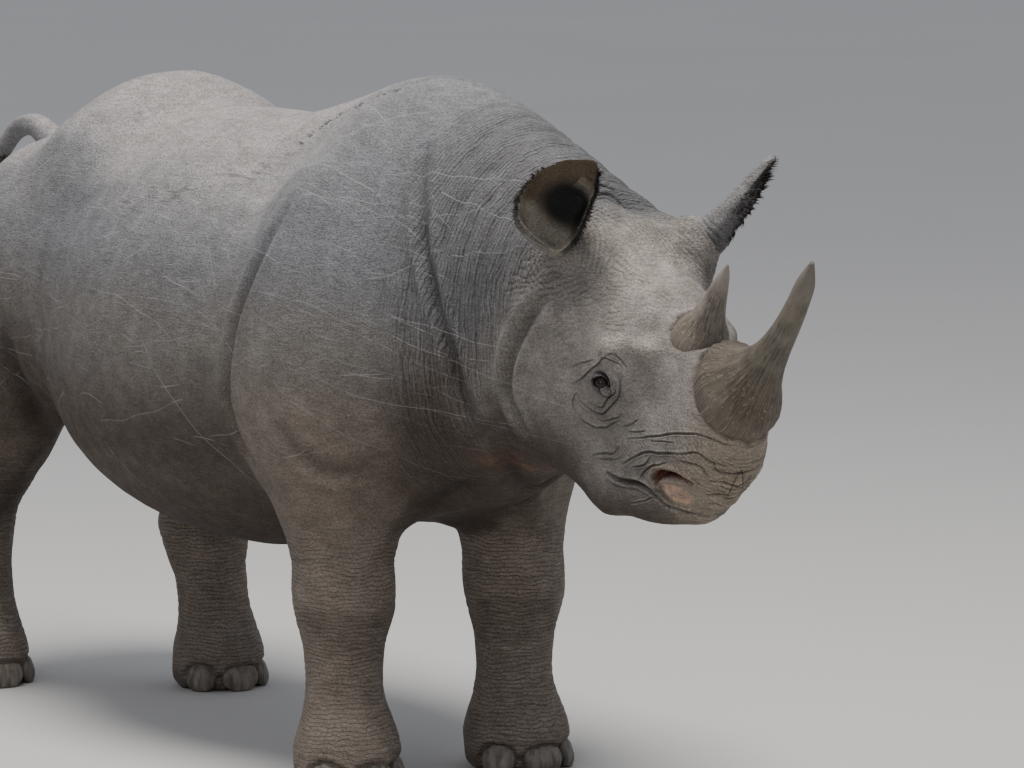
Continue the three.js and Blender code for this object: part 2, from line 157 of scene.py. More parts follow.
def curve_through(path, steps=6):
    """More points on a smooth curve through path's points."""
    p = np.asarray(path, float)
    p = np.concatenate([[2 * p[0] - p[1]], p, [2 * p[-1] - p[-2]]])
    out = []
    for k in range(1, len(p) - 2):
        for t in np.arange(steps) / steps:
            out.append(0.5 * (2 * p[k] + (p[k + 1] - p[k - 1]) * t
                              + (2 * p[k - 1] - 5 * p[k] + 4 * p[k + 1] - p[k + 2]) * t ** 2
                              + (3 * p[k] - p[k - 1] - 3 * p[k + 1] + p[k + 2]) * t ** 3))
    out.append(p[-2])
    return np.array(out)


def vertex_normals(points, faces):
    """Unit normals of the points, from the triangles round each."""
    a, b, c = (points[faces[:, i]] for i in range(3))
    flat = np.cross(b - a, c - a)
    total = np.zeros_like(points)
    for axis in range(3):
        for i in range(3):
            total[:, axis] += np.bincount(faces[:, i], flat[:, axis], len(points))
    return total / np.maximum(np.linalg.norm(total, axis=1, keepdims=True), 1e-12)


def neighbour_pairs(faces, count):
    """Each edge of the triangles once, as its two points."""
    edges = np.sort(np.concatenate([faces[:, [0, 1]], faces[:, [1, 2]], faces[:, [2, 0]]]), axis=1)
    key = np.unique(edges[:, 0].astype(np.int64) * count + edges[:, 1])
    return key // count, key % count


def relaxed(points, pairs, rounds, strength=0.9):
    """Each point moves to its neighbours' middle, as many times as rounds says for it."""
    a, b = pairs
    count = len(points)
    number = np.bincount(a, minlength=count) + np.bincount(b, minlength=count)
    points = points.copy()
    for turn in range(int(math.ceil(rounds.max()))):
        move = np.clip(rounds - turn, 0, 1) * strength
        for axis in range(3):
            total = np.bincount(a, points[b, axis], count) + np.bincount(b, points[a, axis], count)
            points[:, axis] += (total / number - points[:, axis]) * move
    return points


def refined(points, faces, corners, chosen):
    """Splits each edge with both ends chosen; corners are the faces' places on the flat map.

    Also gives the two ends that each new point lies between.
    """
    count = len(points)
    ends = np.sort(np.stack([faces[:, [0, 1]], faces[:, [1, 2]], faces[:, [2, 0]]], axis=1), axis=2)
    split = chosen[ends].all(axis=2)
    key = ends[..., 0].astype(np.int64) * count + ends[..., 1]
    found, back = np.unique(key[split], return_inverse=True)
    middle = np.full(key.shape, -1)
    middle[split] = count + back
    points = np.concatenate([points, (points[found // count] + points[found % count]) / 2])
    halves = (corners + np.roll(corners, -1, axis=1)) / 2
    number = split.sum(axis=1)
    out_faces = [faces[number == 0]]
    out_corners = [corners[number == 0]]
    whole = number == 3
    f, m, c, h = faces[whole], middle[whole], corners[whole], halves[whole]
    for i in range(3):
        j = (i + 2) % 3
        out_faces.append(np.stack([f[:, i], m[:, i], m[:, j]], axis=1))
        out_corners.append(np.stack([c[:, i], h[:, i], h[:, j]], axis=1))
    out_faces.append(m)
    out_corners.append(h)
    for i in range(3):
        one = (number == 1) & split[:, i]
        j, k = (i + 1) % 3, (i + 2) % 3
        f, m, c, h = faces[one], middle[one, i], corners[one], halves[one, i]
        out_faces.append(np.stack([f[:, i], m, f[:, k]], axis=1))
        out_corners.append(np.stack([c[:, i], h, c[:, k]], axis=1))
        out_faces.append(np.stack([m, f[:, j], f[:, k]], axis=1))
        out_corners.append(np.stack([h, c[:, j], c[:, k]], axis=1))
    return points, np.concatenate(out_faces), np.concatenate(out_corners), (found // count, found % count)


def mesh_object(name, points, faces, corners=None, smooth=True):
    """A new mesh object from arrays of points and of equal-sided faces."""
    mesh = bpy.data.meshes.new(name)
    sides = faces.shape[1]
    mesh.vertices.add(len(points))
    mesh.vertices.foreach_set("co", np.asarray(points, np.float32).ravel())
    mesh.loops.add(faces.size)
    mesh.loops.foreach_set("vertex_index", faces.astype(np.int32).ravel())
    mesh.polygons.add(len(faces))
    mesh.polygons.foreach_set("loop_start", np.arange(0, faces.size, sides, dtype=np.int32))
    mesh.polygons.foreach_set("use_smooth", np.full(len(faces), smooth))
    mesh.update(calc_edges=True)
    if corners is not None:
        layer = mesh.uv_layers.new(name="OFBake")
        layer.uv.foreach_set("vector", np.asarray(corners, np.float32).ravel())
    ob = bpy.data.objects.new(name, mesh)
    bpy.context.scene.collection.objects.link(ob)
    return ob


def store(ob, name, values):
    """Keeps one number or four numbers for each point of a mesh."""
    values = np.asarray(values, np.float32)
    if values.ndim == 1:
        ob.data.attributes.new(name, "FLOAT", "POINT").data.foreach_set("value", values)
    else:
        layer = ob.data.attributes.new(name, "FLOAT_COLOR", "POINT")
        layer.data.foreach_set("color", values.ravel())


def evaluated_arrays(ob):
    """Points and faces of an object with its modifiers, which must give equal-sided faces."""
    made = bpy.data.meshes.new_from_object(ob.evaluated_get(bpy.context.evaluated_depsgraph_get()))
    co = np.zeros(len(made.vertices) * 3, np.float32)
    made.vertices.foreach_get("co", co)
    loops = np.zeros(len(made.loops), np.int32)
    made.loops.foreach_get("vertex_index", loops)
    faces = loops.reshape(len(made.polygons), -1)
    bpy.data.meshes.remove(made)
    return co.reshape(-1, 3).astype(float), faces


def remeshed(points, faces, voxel):
    """The closed skin round one or more closed bodies, as squares about voxel across."""
    ob = mesh_object("remesh", points, faces)
    modifier = ob.modifiers.new("skin", "REMESH")
    modifier.mode = "VOXEL"
    modifier.voxel_size = voxel
    points, faces = evaluated_arrays(ob)
    bpy.data.objects.remove(ob)
    return largest_piece(points, faces)


def largest_piece(points, faces):
    """Drops all but the biggest connected piece: each point takes its piece's lowest number."""
    count = len(points)
    ends = np.concatenate([np.stack([faces[:, i], faces[:, (i + 1) % faces.shape[1]]], axis=1)
                           for i in range(faces.shape[1])])
    ends = np.concatenate([ends, ends[:, ::-1]])
    ends = ends[np.argsort(ends[:, 0], kind="stable")]
    first = np.searchsorted(ends[:, 0], np.arange(count))
    label = np.arange(count)
    while True:
        lower = np.minimum(label, np.minimum.reduceat(label[ends[:, 1]], first))
        lower = lower[lower]
        if (lower == label).all():
            break
        label = lower
    kept = label == np.bincount(label).argmax()
    index = np.cumsum(kept) - 1
    return points[kept], index[faces[kept[faces[:, 0]]]]


def in_box(points, name, margin):
    """Which points lie in a node's box, grown by margin."""
    low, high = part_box(name)
    return ((points > np.array(low) - margin) & (points < np.array(high) + margin)).all(axis=1)


def tree_of(*names):
    """CAD nodes as one tree for nearest-point questions."""
    points, faces = cad_arrays(*names)
    return BVHTree.FromPolygons(points.tolist(), faces.tolist())


# ---- the head's axes ----------------------------------------------------------------------------

HEAD = np.array(Matrix.Rotation(HEAD_TURN, 3, "Z") @ Matrix.Rotation(HEAD_PITCH, 3, "Y")
                @ Matrix.Rotation(HEAD_ROLL, 3, "X"))


def box_centre(name):
    """The middle of a node's box."""
    low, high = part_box(name)
    return np.array((low + high) / 2)


HEAD_AT = (box_centre("eye_right") + box_centre("eye_left")) / 2 - HEAD @ EYES_MIDDLE


def to_head(points):
    """Points in the head's axes."""
    return (np.asarray(points) - HEAD_AT) @ HEAD


def from_head(local):
    """Points of the head's axes in the row's."""
    return np.asarray(local) @ HEAD.T + HEAD_AT

# ---- the skin's shape ----------------------------------------------------------------------------

# Grooves of the body as lines on its right side, mirrored on its left: points, width, depth.
SHOULDER_FOLD = ([(0.17, -0.34, 1.30), (0.09, -0.386, 1.146), (0.02, -0.396, 1.03), (0.0, -0.399, 0.94),
                  (-0.014, -0.395, 0.85), (0.0, -0.38, 0.77), (0.06, -0.365, 0.71)], 0.016, 0.012)
NECK_FOLD = ([(0.453, -0.178, 1.431), (0.492, -0.216, 1.347), (0.538, -0.241, 1.227), (0.572, -0.242, 1.141),
              (0.621, -0.23, 1.002), (0.646, -0.202, 0.897), (0.64, -0.167, 0.816)], 0.015, 0.014)
CHEEK_FOLD = ([(0.93, -0.18, 1.16), (0.86, -0.195, 1.09), (0.80, -0.195, 1.01), (0.775, -0.185, 0.936),
               (0.785, -0.16, 0.864), (0.80, -0.11, 0.79)], 0.015, 0.018)
ELBOW_FOLD = ([(0.20, -0.39, 0.83), (0.235, -0.385, 0.776), (0.29, -0.347, 0.727), (0.35, -0.30, 0.72),
               (0.40, -0.26, 0.75)], 0.020, 0.004)
FLANK_FOLD = ([(-1.06, -0.37, 0.92), (-1.09, -0.33, 0.82), (-1.10, -0.28, 0.73),
               (-1.16, -0.20, 0.63)], 0.022, 0.016)
THROAT_FOLD = ([(0.70, -0.12, 0.80), (0.66, -0.10, 0.76), (0.60, -0.04, 0.72),
                (0.56, 0.0, 0.70)], 0.02, 0.014)
ARMPIT_FOLD = ([(0.56, -0.10, 0.74), (0.45, -0.12, 0.66), (0.36, -0.12, 0.58)], 0.025, 0.014)
POLL_LINES = ([(0.895, -0.060, 1.352), (0.896, -0.025, 1.362), (0.894, 0.015, 1.364), (0.925, 0.045, 1.350)],
              [(0.868, -0.045, 1.362), (0.865, 0.004, 1.371), (0.880, 0.040, 1.366)])
BODY_FOLDS = (SHOULDER_FOLD, NECK_FOLD, CHEEK_FOLD, ELBOW_FOLD, FLANK_FOLD, THROAT_FOLD, ARMPIT_FOLD)

# Grooves of the face in the head's axes, on its right side: points, width, depth.
MUZZLE_FOLDS = (
    ([(0.435, -0.125, -0.235), (0.48, -0.115, -0.195), (0.54, -0.105, -0.14), (0.605, -0.09, -0.085),
      (0.645, -0.07, -0.065), (0.675, -0.045, -0.06), (0.69, 0.01, -0.06)], 0.0019, 0.0037),
    ([(0.445, -0.125, -0.295), (0.49, -0.115, -0.23), (0.53, -0.11, -0.195), (0.615, -0.10, -0.13),
      (0.64, -0.08, -0.11), (0.67, -0.055, -0.115), (0.69, -0.01, -0.105)], 0.0020, 0.0044),
    ([(0.50, -0.11, -0.19), (0.535, -0.11, -0.16), (0.58, -0.105, -0.13)], 0.0015, 0.0022),
    ([(0.34, -0.135, -0.36), (0.365, -0.13, -0.335), (0.40, -0.13, -0.305),
      (0.42, -0.13, -0.27)], 0.0017, 0.0026),
    ([(0.36, -0.135, -0.355), (0.395, -0.13, -0.325), (0.435, -0.125, -0.29)], 0.0015, 0.0022),
    ([(0.475, -0.12, -0.28), (0.505, -0.115, -0.25), (0.52, -0.11, -0.215)], 0.0017, 0.0030),
    ([(0.505, -0.115, -0.29), (0.515, -0.115, -0.255), (0.535, -0.11, -0.225),
      (0.575, -0.11, -0.185)], 0.0019, 0.0037),
    ([(0.60, -0.105, -0.155), (0.635, -0.09, -0.14), (0.655, -0.075, -0.135),
      (0.67, -0.06, -0.155)], 0.0019, 0.0037),
    ([(0.67, -0.06, -0.11), (0.675, -0.05, -0.13), (0.69, -0.03, -0.13),
      (0.69, 0.01, -0.13)], 0.0019, 0.0033),
    ([(0.665, -0.06, -0.165), (0.685, -0.035, -0.155), (0.69, -0.015, -0.16),
      (0.69, 0.015, -0.175)], 0.0018, 0.0033),
    ([(0.655, -0.055, -0.21), (0.67, -0.045, -0.20), (0.685, -0.03, -0.19),
      (0.695, -0.01, -0.19)], 0.0018, 0.0030),
    ([(0.645, -0.04, -0.25), (0.675, -0.03, -0.22), (0.68, 0.015, -0.23)], 0.0018, 0.0030),
    ([(0.695, 0.0, -0.12), (0.69, 0.01, -0.15), (0.685, 0.015, -0.19)], 0.0015, 0.0022),
    ([(0.49, -0.11, -0.37), (0.53, -0.105, -0.33), (0.555, -0.095, -0.295)], 0.0019, 0.0030),
)
MOUTH = [(0.40, -0.13, -0.36), (0.45, -0.125, -0.34), (0.495, -0.115, -0.305), (0.525, -0.11, -0.295),
         (0.55, -0.10, -0.295), (0.575, -0.08, -0.305), (0.605, -0.05, -0.30), (0.645, 0.0, -0.29)]
NOSTRIL_SLIT = [(0.545, -0.105, -0.26), (0.555, -0.105, -0.235), (0.575, -0.10, -0.215),
                (0.60, -0.10, -0.20), (0.62, -0.09, -0.19), (0.64, -0.085, -0.195)]
NOSTRIL_BULB = (0.599, -0.076, -0.250)
EYE_FOLDS = (
    ([(0.365, -0.145, -0.115), (0.38, -0.14, -0.14), (0.38, -0.14, -0.17), (0.355, -0.145, -0.225),
      (0.33, -0.145, -0.25), (0.27, -0.15, -0.27), (0.25, -0.155, -0.26)], 0.0019, 0.0048),
    ([(0.37, -0.145, -0.145), (0.37, -0.145, -0.165), (0.355, -0.15, -0.19), (0.345, -0.15, -0.22),
      (0.325, -0.15, -0.235), (0.295, -0.15, -0.245)], 0.0017, 0.0037),
    ([(0.26, -0.16, -0.21), (0.285, -0.165, -0.165), (0.305, -0.16, -0.135), (0.32, -0.155, -0.105),
      (0.355, -0.145, -0.095), (0.365, -0.14, -0.10)], 0.0018, 0.0037),
    ([(0.32, -0.155, -0.105), (0.33, -0.145, -0.085), (0.365, -0.135, -0.09),
      (0.375, -0.13, -0.10)], 0.0015, 0.0030),
    ([(0.21, -0.165, -0.22), (0.24, -0.16, -0.185), (0.285, -0.16, -0.14)], 0.0015, 0.0026),
    ([(0.23, -0.16, -0.25), (0.26, -0.16, -0.21), (0.285, -0.165, -0.17)], 0.0017, 0.0033),
    ([(0.27, -0.155, -0.30), (0.295, -0.145, -0.305), (0.345, -0.14, -0.28), (0.38, -0.135, -0.24),
      (0.40, -0.13, -0.215)], 0.0019, 0.0041),
    ([(0.325, -0.14, -0.275), (0.36, -0.14, -0.245), (0.39, -0.135, -0.215),
      (0.40, -0.13, -0.195)], 0.0015, 0.0030),
    ([(0.41, -0.13, -0.22), (0.425, -0.125, -0.205), (0.44, -0.115, -0.18)], 0.0015, 0.0026),
    ([(0.43, -0.125, -0.22), (0.45, -0.12, -0.205), (0.47, -0.11, -0.185)], 0.0015, 0.0026),
    ([(0.25, -0.155, -0.26), (0.25, -0.16, -0.285), (0.265, -0.155, -0.305)], 0.0018, 0.0026),
)
FACE_FOLDS = MUZZLE_FOLDS + EYE_FOLDS
# The middle of the nape's ridge, and the crown between the ears.
NAPE = (0.66, 0.02, 1.43)
CROWN = (0.93, 0.06, 1.345)
# The eye's opening as half widths, and the round pale lump by its lower front corner: place, radius.
LID_WIDE = 0.0165
LID_HIGH = 0.0125
LUMP_AT = (0.0115, -0.0175)
LUMP_RADIUS = 0.0120
EYE_GAZE = Vector((0.56, -0.68, 0.47)).normalized()
EYE_LINE = np.array([0.377, 0.907, 0.19])

# The ears as in the part: root in the head's axes, splay, lean, turn, length and width.
EAR_SETS = {
    "ear_right": ((0.052, -0.174, -0.046), -0.25, -0.10, -0.65, 0.240, 0.124),
    "ear_left": ((0.076, 0.151, -0.045), -0.51, -0.01, 0.86, 0.272, 0.080),
}


def mirrored(points, side):
    """Points as if they were on the right: side is 1 for the left and may differ by point."""
    flip = np.where(np.asarray(side) > 0, -1.0, 1.0)
    return points * np.stack([np.ones_like(flip), flip, np.ones_like(flip)], axis=-1)


def laid(path, points):
    """A line's points moved onto the nearest of the skin's points and evened out."""
    away = np.linalg.norm(path[:, None] - points[None], axis=2)
    path = points[away.argmin(axis=1)]
    for _ in range(3):
        path[1:-1] = (path[:-2] + 2 * path[1:-1] + path[2:]) / 4
    return path


def groove(points, path, width):
    """How deep in a groove along path each point is, from 0 to 1, and the ridges beside it."""
    path = curve_through(path)
    margin = 0.012 + 3.5 * width
    box = ((points > path.min(axis=0) - margin) & (points < path.max(axis=0) + margin)).all(axis=1)
    near = np.nonzero(box)[0]
    depth = np.zeros(len(points))
    ridge = np.zeros(len(points))
    if len(near):
        away, along = path_distance(points[near], laid(path, points[near]))
        fade = np.sqrt(np.clip(np.sin(np.pi * np.clip(along, 0.02, 0.98)), 0, 1))
        depth[near] = hill(away, width) * fade
        ridge[near] = hill(away - 2.1 * width, 0.9 * width) * fade
    return depth, ridge


def furrows(phase, sharp=0.55):
    """0 on the rounded ridges and up to 1 in the narrow grooves between them."""
    return 1 - np.abs(np.sin(np.pi * phase)) ** sharp


class Skin:
    """The skin while it is being shaped: points, faces, and what each point is marked with."""

    def __init__(self):
        nails = tuple(name for name in NODES if name.startswith("nail"))
        filled = FLESH + ("eye_right", "eye_left") + nails
        points, squares = remeshed(*cad_arrays(*filled), SKIN_VOXEL)
        faces = np.concatenate([squares[:, [0, 1, 2]], squares[:, [0, 2, 3]]])
        self.points = points
        self.faces = faces
        self.mark_parts()
        self.smooth_facets()
        self.corners = flat_map(self.points, self.faces)
        local = to_head(self.points)
        self.refine((local[:, 0] > -0.30) & (self.points[:, 2] > 0.6) & (self.points[:, 0] > 0.42))
        local = to_head(self.points)
        eyes = np.linalg.norm(local * [1, 0, 1] - EYES_MIDDLE, axis=1) < 0.085
        muzzle = (local[:, 0] > 0.43) & (local[:, 2] < -0.03)
        self.refine((eyes & (np.abs(local[:, 1]) > 0.09)) | muzzle | self.ear)
        local = to_head(self.points)
        gaze = np.linalg.norm(local * [1, 0, 1] - EYES_MIDDLE, axis=1) < 0.045
        nostril = np.linalg.norm(mirrored(local, np.sign(local[:, 1])) - NOSTRIL_BULB, axis=1) < 0.05
        self.refine((gaze & (np.abs(local[:, 1]) > 0.09)) | nostril)
        self.count = len(self.points)
        self.normals = vertex_normals(self.points, self.faces)
        self.local = to_head(self.points)
        self.raise_by = np.zeros(self.count)
        # How much painted shade each point gets, most in the grooves of folds and wrinkles.
        self.crease_shade = np.zeros(self.count)

    def mark_parts(self):
        """Which points are an ear's and which are the tail's."""
        self.ear = np.zeros(len(self.points), bool)
        self.tail = np.zeros(len(self.points), bool)
        body = tree_of("head", "neck", "trunk")
        for name in EARS + TAIL:
            own = tree_of(name)
            near = np.nonzero(in_box(self.points, name, 0.012))[0]
            mine = [own.find_nearest(p)[3] < body.find_nearest(p)[3] for p in self.points[near]]
            marks = self.ear if name in EARS else self.tail
            marks[near[np.array(mine)]] = True

    def smooth_facets(self):
        """Takes out the solids' flat facets: the bigger they are, the more rounds it takes."""
        local = to_head(self.points)
        rounds = np.full(len(self.points), 70.0)
        head = step(local[:, 0], -0.16, 0.02) * (self.points[:, 0] > 0.5)
        rounds = rounds * (1 - head) + 12 * head
        leg = step(self.points[:, 2], 0.60, 0.50) * (self.points[:, 0] < 0.5)
        rounds = rounds * (1 - leg) + 20 * leg
        foot = step(self.points[:, 2], 0.16, 0.08)
        rounds = rounds * (1 - foot) + 6 * foot
        rounds[self.ear] = 4
        rounds[self.tail] = 8
        pairs = neighbour_pairs(self.faces, len(self.points))
        once = relaxed(self.points, pairs, rounds)
        # What a second pass takes away is given back, so bulges and hollows keep their size.
        self.points = 2 * once - relaxed(once, pairs, rounds)

    def refine(self, chosen):
        """Halves the edges between chosen points; a point between two of a part's is the part's."""
        self.points, self.faces, self.corners, (a, b) = refined(self.points, self.faces, self.corners, chosen)
        self.ear = np.concatenate([self.ear, self.ear[a] & self.ear[b]])
        self.tail = np.concatenate([self.tail, self.tail[a] & self.tail[b]])

    def settle(self):
        """Moves the points by what has been raised so far and looks at the shape afresh."""
        self.points = self.points + self.normals * self.raise_by[:, None]
        self.raise_by[:] = 0
        self.local = to_head(self.points)
        self.normals = vertex_normals(self.points, self.faces)


def flat_map(points, faces):
    """Places on a flat map for each face's corners, laid out by Blender."""
    ob = mesh_object("unwrap", points, faces)
    bpy.context.view_layer.objects.active = ob
    ob.select_set(True)
    ob.data.uv_layers.new(name="flat")
    bpy.ops.object.mode_set(mode="EDIT")
    bpy.ops.mesh.select_all(action="SELECT")
    bpy.ops.uv.smart_project(angle_limit=1.15, island_margin=0.002, scale_to_bounds=True)
    bpy.ops.object.mode_set(mode="OBJECT")
    found = np.zeros(faces.size * 2, np.float32)
    ob.data.uv_layers["flat"].uv.foreach_get("vector", found)
    bpy.data.objects.remove(ob)
    return found.reshape(len(faces), 3, 2)


def shape_body(skin):
    """Broad folds, ribs and unevenness of trunk, neck and legs."""
    p = skin.points
    for path, width, depth in BODY_FOLDS:
        for side in (-1, 1):
            deep, ridge = groove(mirrored(p, side), path, width)
            skin.raise_by += 0.45 * depth * ridge - depth * deep
            skin.crease_shade += 0.6 * deep
    flank = step(p[:, 0], -1.25, -0.95) * step(p[:, 0], 0.0, -0.35)
    flank *= step(p[:, 2], 0.78, 0.95) * step(p[:, 2], 1.4, 1.2)
    leaning = p[:, 0] - 0.45 * (p[:, 2] - 1.0)
    skin.raise_by += 0.0010 * flank * np.sin(2 * np.pi * leaning / RIB_APART + 1.6 * noise(p, 0.3, 3))
    body = (1 - step(skin.local[:, 0], -0.1, 0.1) * (p[:, 0] > 0.5)) * ~(skin.tail | skin.ear)
    skin.raise_by += body * (0.004 * clouds(p, 0.22, 11, 2) + 0.0012 * clouds(p, 0.05, 17, 2))
    for path in POLL_LINES:
        deep, ridge = groove(p, path, 0.0045)
        skin.raise_by += 0.0025 * ridge - 0.007 * deep
        skin.crease_shade += 1.2 * deep


def shape_ridge(skin):
    """The ridge of the back: a narrow croup between two dips, a full nape and a low crown."""
    p = skin.points
    top = step(p[:, 2], 1.25, 1.40) * hill(p[:, 1], 0.5) * (p[:, 0] < 0)
    for height, at, width in ((0.006, -0.87, 0.06), (-0.026, -0.68, 0.085), (-0.010, -1.08, 0.07)):
        skin.raise_by += height * top * hill(p[:, 0] - at, width)
    nape = hill(np.linalg.norm((p - NAPE) * [0.55, 1.0, 0.5], axis=1), 0.15)
    nape *= step(skin.normals[:, 2], 0.1, 0.6) * step(p[:, 0], 0.93, 0.83)
    crown = hill(np.linalg.norm(p - CROWN, axis=1), 0.075)
    skin.raise_by += (0.024 * nape - 0.034 * crown) * ~skin.ear


def shape_legs(skin):
    """Broken rings of wrinkles round the legs."""
    p = skin.points
    leg = step(p[:, 2], 0.62, 0.48) * step(p[:, 2], 0.03, 0.09) * (p[:, 0] < 0.6)
    phase = p[:, 2] / LEG_RINGS_APART + 0.9 * noise(p, 0.09, 23) + 0.5 * noise(p, 0.03, 24)
    rings = furrows(phase) * step(noise(p * [1, 1, 2.2], 0.07, 29), -0.5, 0.4) * leg
    skin.raise_by -= 0.0030 * rings
    skin.crease_shade += 0.30 * rings


def neck_lie(points):
    """Distance from the cheek, squashed upright: the neck's wrinkles follow its level lines."""
    return np.hypot(points[:, 0] - 1.05, 0.55 * (points[:, 2] - 0.97))


def shape_neck(skin):
    """Fine upright wrinkles over a few broad folds."""
    p = skin.points
    lie = neck_lie(p)
    neck = step(p[:, 0], 0.36, 0.52) * step(skin.local[:, 0], 0.06, -0.04) * step(p[:, 2], 0.55, 0.75)
    neck *= np.where(skin.ear, 0, 1)
    phase = lie / NECK_LINES_APART + 0.8 * noise(p * [1, 1, 0.45], 0.10, 31) + 0.55 * noise(p, 0.04, 32)
    broken = step(noise(p * [1.5, 1, 0.35], 0.06, 33), -0.75, 0.15)
    low = step(p[:, 2], 1.42, 1.10)
    fine = furrows(phase, 0.8) * neck * broken * (0.45 + 0.55 * low)
    skin.raise_by -= 0.0030 * fine
    skin.crease_shade += 0.45 * fine
    folds = furrows(lie / NECK_FOLDS_APART + 0.5 * noise(p * [1, 1, 0.4], 0.2, 35), 0.9) * neck
    skin.raise_by -= 0.005 * folds
    skin.crease_shade += 0.15 * folds


def shape_head(skin):
    """Brows, temples and cheeks, before the fine folds."""
    for side in (-1, 1):
        q = mirrored(skin.local, side)
        here = (q[:, 1] < 0.02) & ~skin.ear
        q = q[here]
        brow = path_distance(q, [(0.30, -0.15, -0.09), (0.345, -0.122, -0.055), (0.39, -0.09, -0.04)])[0]
        lift = 0.009 * hill(brow, 0.024)
        lift -= 0.008 * hill(np.linalg.norm(q - [0.22, -0.14, -0.06], axis=1), 0.055)
        lift -= 0.008 * hill(np.linalg.norm(q - [0.44, -0.11, -0.12], axis=1), 0.05)
        lift += 0.005 * hill(np.linalg.norm(q - [0.25, -0.16, -0.33], axis=1), 0.09)
        skin.raise_by[here] += lift
    temple = hill(np.linalg.norm(skin.local - [0.14, 0.115, -0.07], axis=1), 0.06)
    dent = hill(np.linalg.norm(skin.local - [0.075, -0.19, -0.07], axis=1), 0.045)
    skin.raise_by += (0.004 * temple - 0.012 * dent) * np.where(skin.ear, 0, 1)


def shape_muzzle(skin):
    """The folds of the face, the mouth, and the fine wrinkles of the lips."""
    for side in (-1, 1):
        q = mirrored(skin.local, side)
        near = np.nonzero((q[:, 0] > 0.18) & (q[:, 1] < 0.035) & ~skin.ear)[0]
        q = q[near]
        wobble = np.stack([noise(q, 0.03, 51 + side), noise(q, 0.03, 53 + side),
                           noise(q, 0.03, 55 + side)], axis=1)
        q = q + 0.0022 * wobble
        total = np.zeros(len(q))
        dark = np.zeros(len(q))
        for path, width, depth in FACE_FOLDS:
            deep, ridge = groove(q, path, width)
            total += 0.35 * depth * ridge - depth * deep
            dark += 1.1 * deep
        deep, ridge = groove(q, MOUTH, 0.0045)
        total += 0.004 * ridge - 0.014 * deep
        dark += 1.5 * deep
        band = step(q[:, 2], -0.05, -0.10) * step(q[:, 0], 0.36, 0.46) * step(q[:, 2], -0.42, -0.34)
        phase = (q[:, 2] + 0.45 * q[:, 0]) / 0.0105 + 1.2 * noise(q, 0.07, 61) + 0.5 * noise(q, 0.02, 62)
        fine = furrows(phase, 0.5) * band * step(noise(q, 0.028, 63), -0.5, 0.4)
        total -= 0.0018 * fine
        dark += 0.5 * fine
        lip = step(q[:, 0], 0.62, 0.67) * step(q[:, 2], -0.30, -0.26) * step(q[:, 2], -0.10, -0.13)
        cross = furrows(q[:, 2] / 0.0115 + 0.9 * noise(q, 0.03, 64), 0.5) * lip
        cross = cross * step(noise(q * [1, 0.6, 1], 0.022, 65), -0.3, 0.3)
        total -= 0.0022 * cross
        dark += 0.5 * cross
        skin.raise_by[near] += total
        skin.crease_shade[near] += dark


def shape_nostrils(skin):
    """A slanting hole under each nostril's rim, with the pale round fold that half fills it."""
    skin.pink = np.zeros(skin.count)
    skin.hole = np.zeros(skin.count)
    for side in (-1, 1):
        q = mirrored(skin.local, side)
        near = np.nonzero(np.linalg.norm(q - NOSTRIL_BULB, axis=1) < 0.1)[0]
        q = q[near]
        away, along = path_distance(q, laid(curve_through(NOSTRIL_SLIT), q))
        fade = np.clip(np.sin(np.pi * np.clip(along, 0.02, 0.98)), 0, 1) ** 0.35
        slit = step(away, 0.0115, 0.0040) * fade
        rim = hill(away - 0.016, 0.006) * fade
        bulb = hill(np.linalg.norm((q - NOSTRIL_BULB) * [0.85, 0.8, 1.0], axis=1), 0.030)
        bulb *= step(away, 0.006, 0.014)
        skin.raise_by[near] += 0.010 * bulb + 0.005 * rim * (1 - bulb) - 0.026 * slit
        skin.pink[near] = np.maximum(step(bulb, 0.15, 0.6), 0.55 * hill(away, 0.018) * fade)
        # The slit, later painted red-brown at its edge and black as shade where it is deepest.
        skin.hole[near] = slit


def eye_axes():
    """The right eye's own axes in the head's: along its opening, up and out."""
    out = np.array(EYE_GAZE)
    along = EYE_LINE - out * (EYE_LINE @ out)
    along /= np.linalg.norm(along)
    return along, np.cross(out, along), out


def shape_orbits(skin):
    """Fine rings of wrinkles round each eye, deepest under it."""
    along, up, out = eye_axes()
    for side, name in ((-1, "eye_right"), (1, "eye_left")):
        q = mirrored(skin.local, side) - mirrored(to_head(box_centre(name)[None])[0], side)
        near = np.nonzero((np.linalg.norm(q, axis=1) < 0.09) & (q @ out > -0.04))[0]
        q = q[near]
        u, v = q @ along, q @ up
        reach = np.hypot(u, 1.1 * v + 0.004)
        ring = furrows(reach / 0.0068 + 0.5 * noise(q, 0.025, 71) + 0.3 * noise(q, 0.008, 72), 0.6)
        ring *= step(reach, 0.019, 0.025) * step(reach, 0.064, 0.040) * step(noise(q, 0.018, 73), -0.6, 0.2)
        ring *= 0.6 + 0.4 * step(v, 0.01, -0.01)
        skin.raise_by[near] -= 0.0017 * ring
        skin.crease_shade[near] += 0.55 * ring


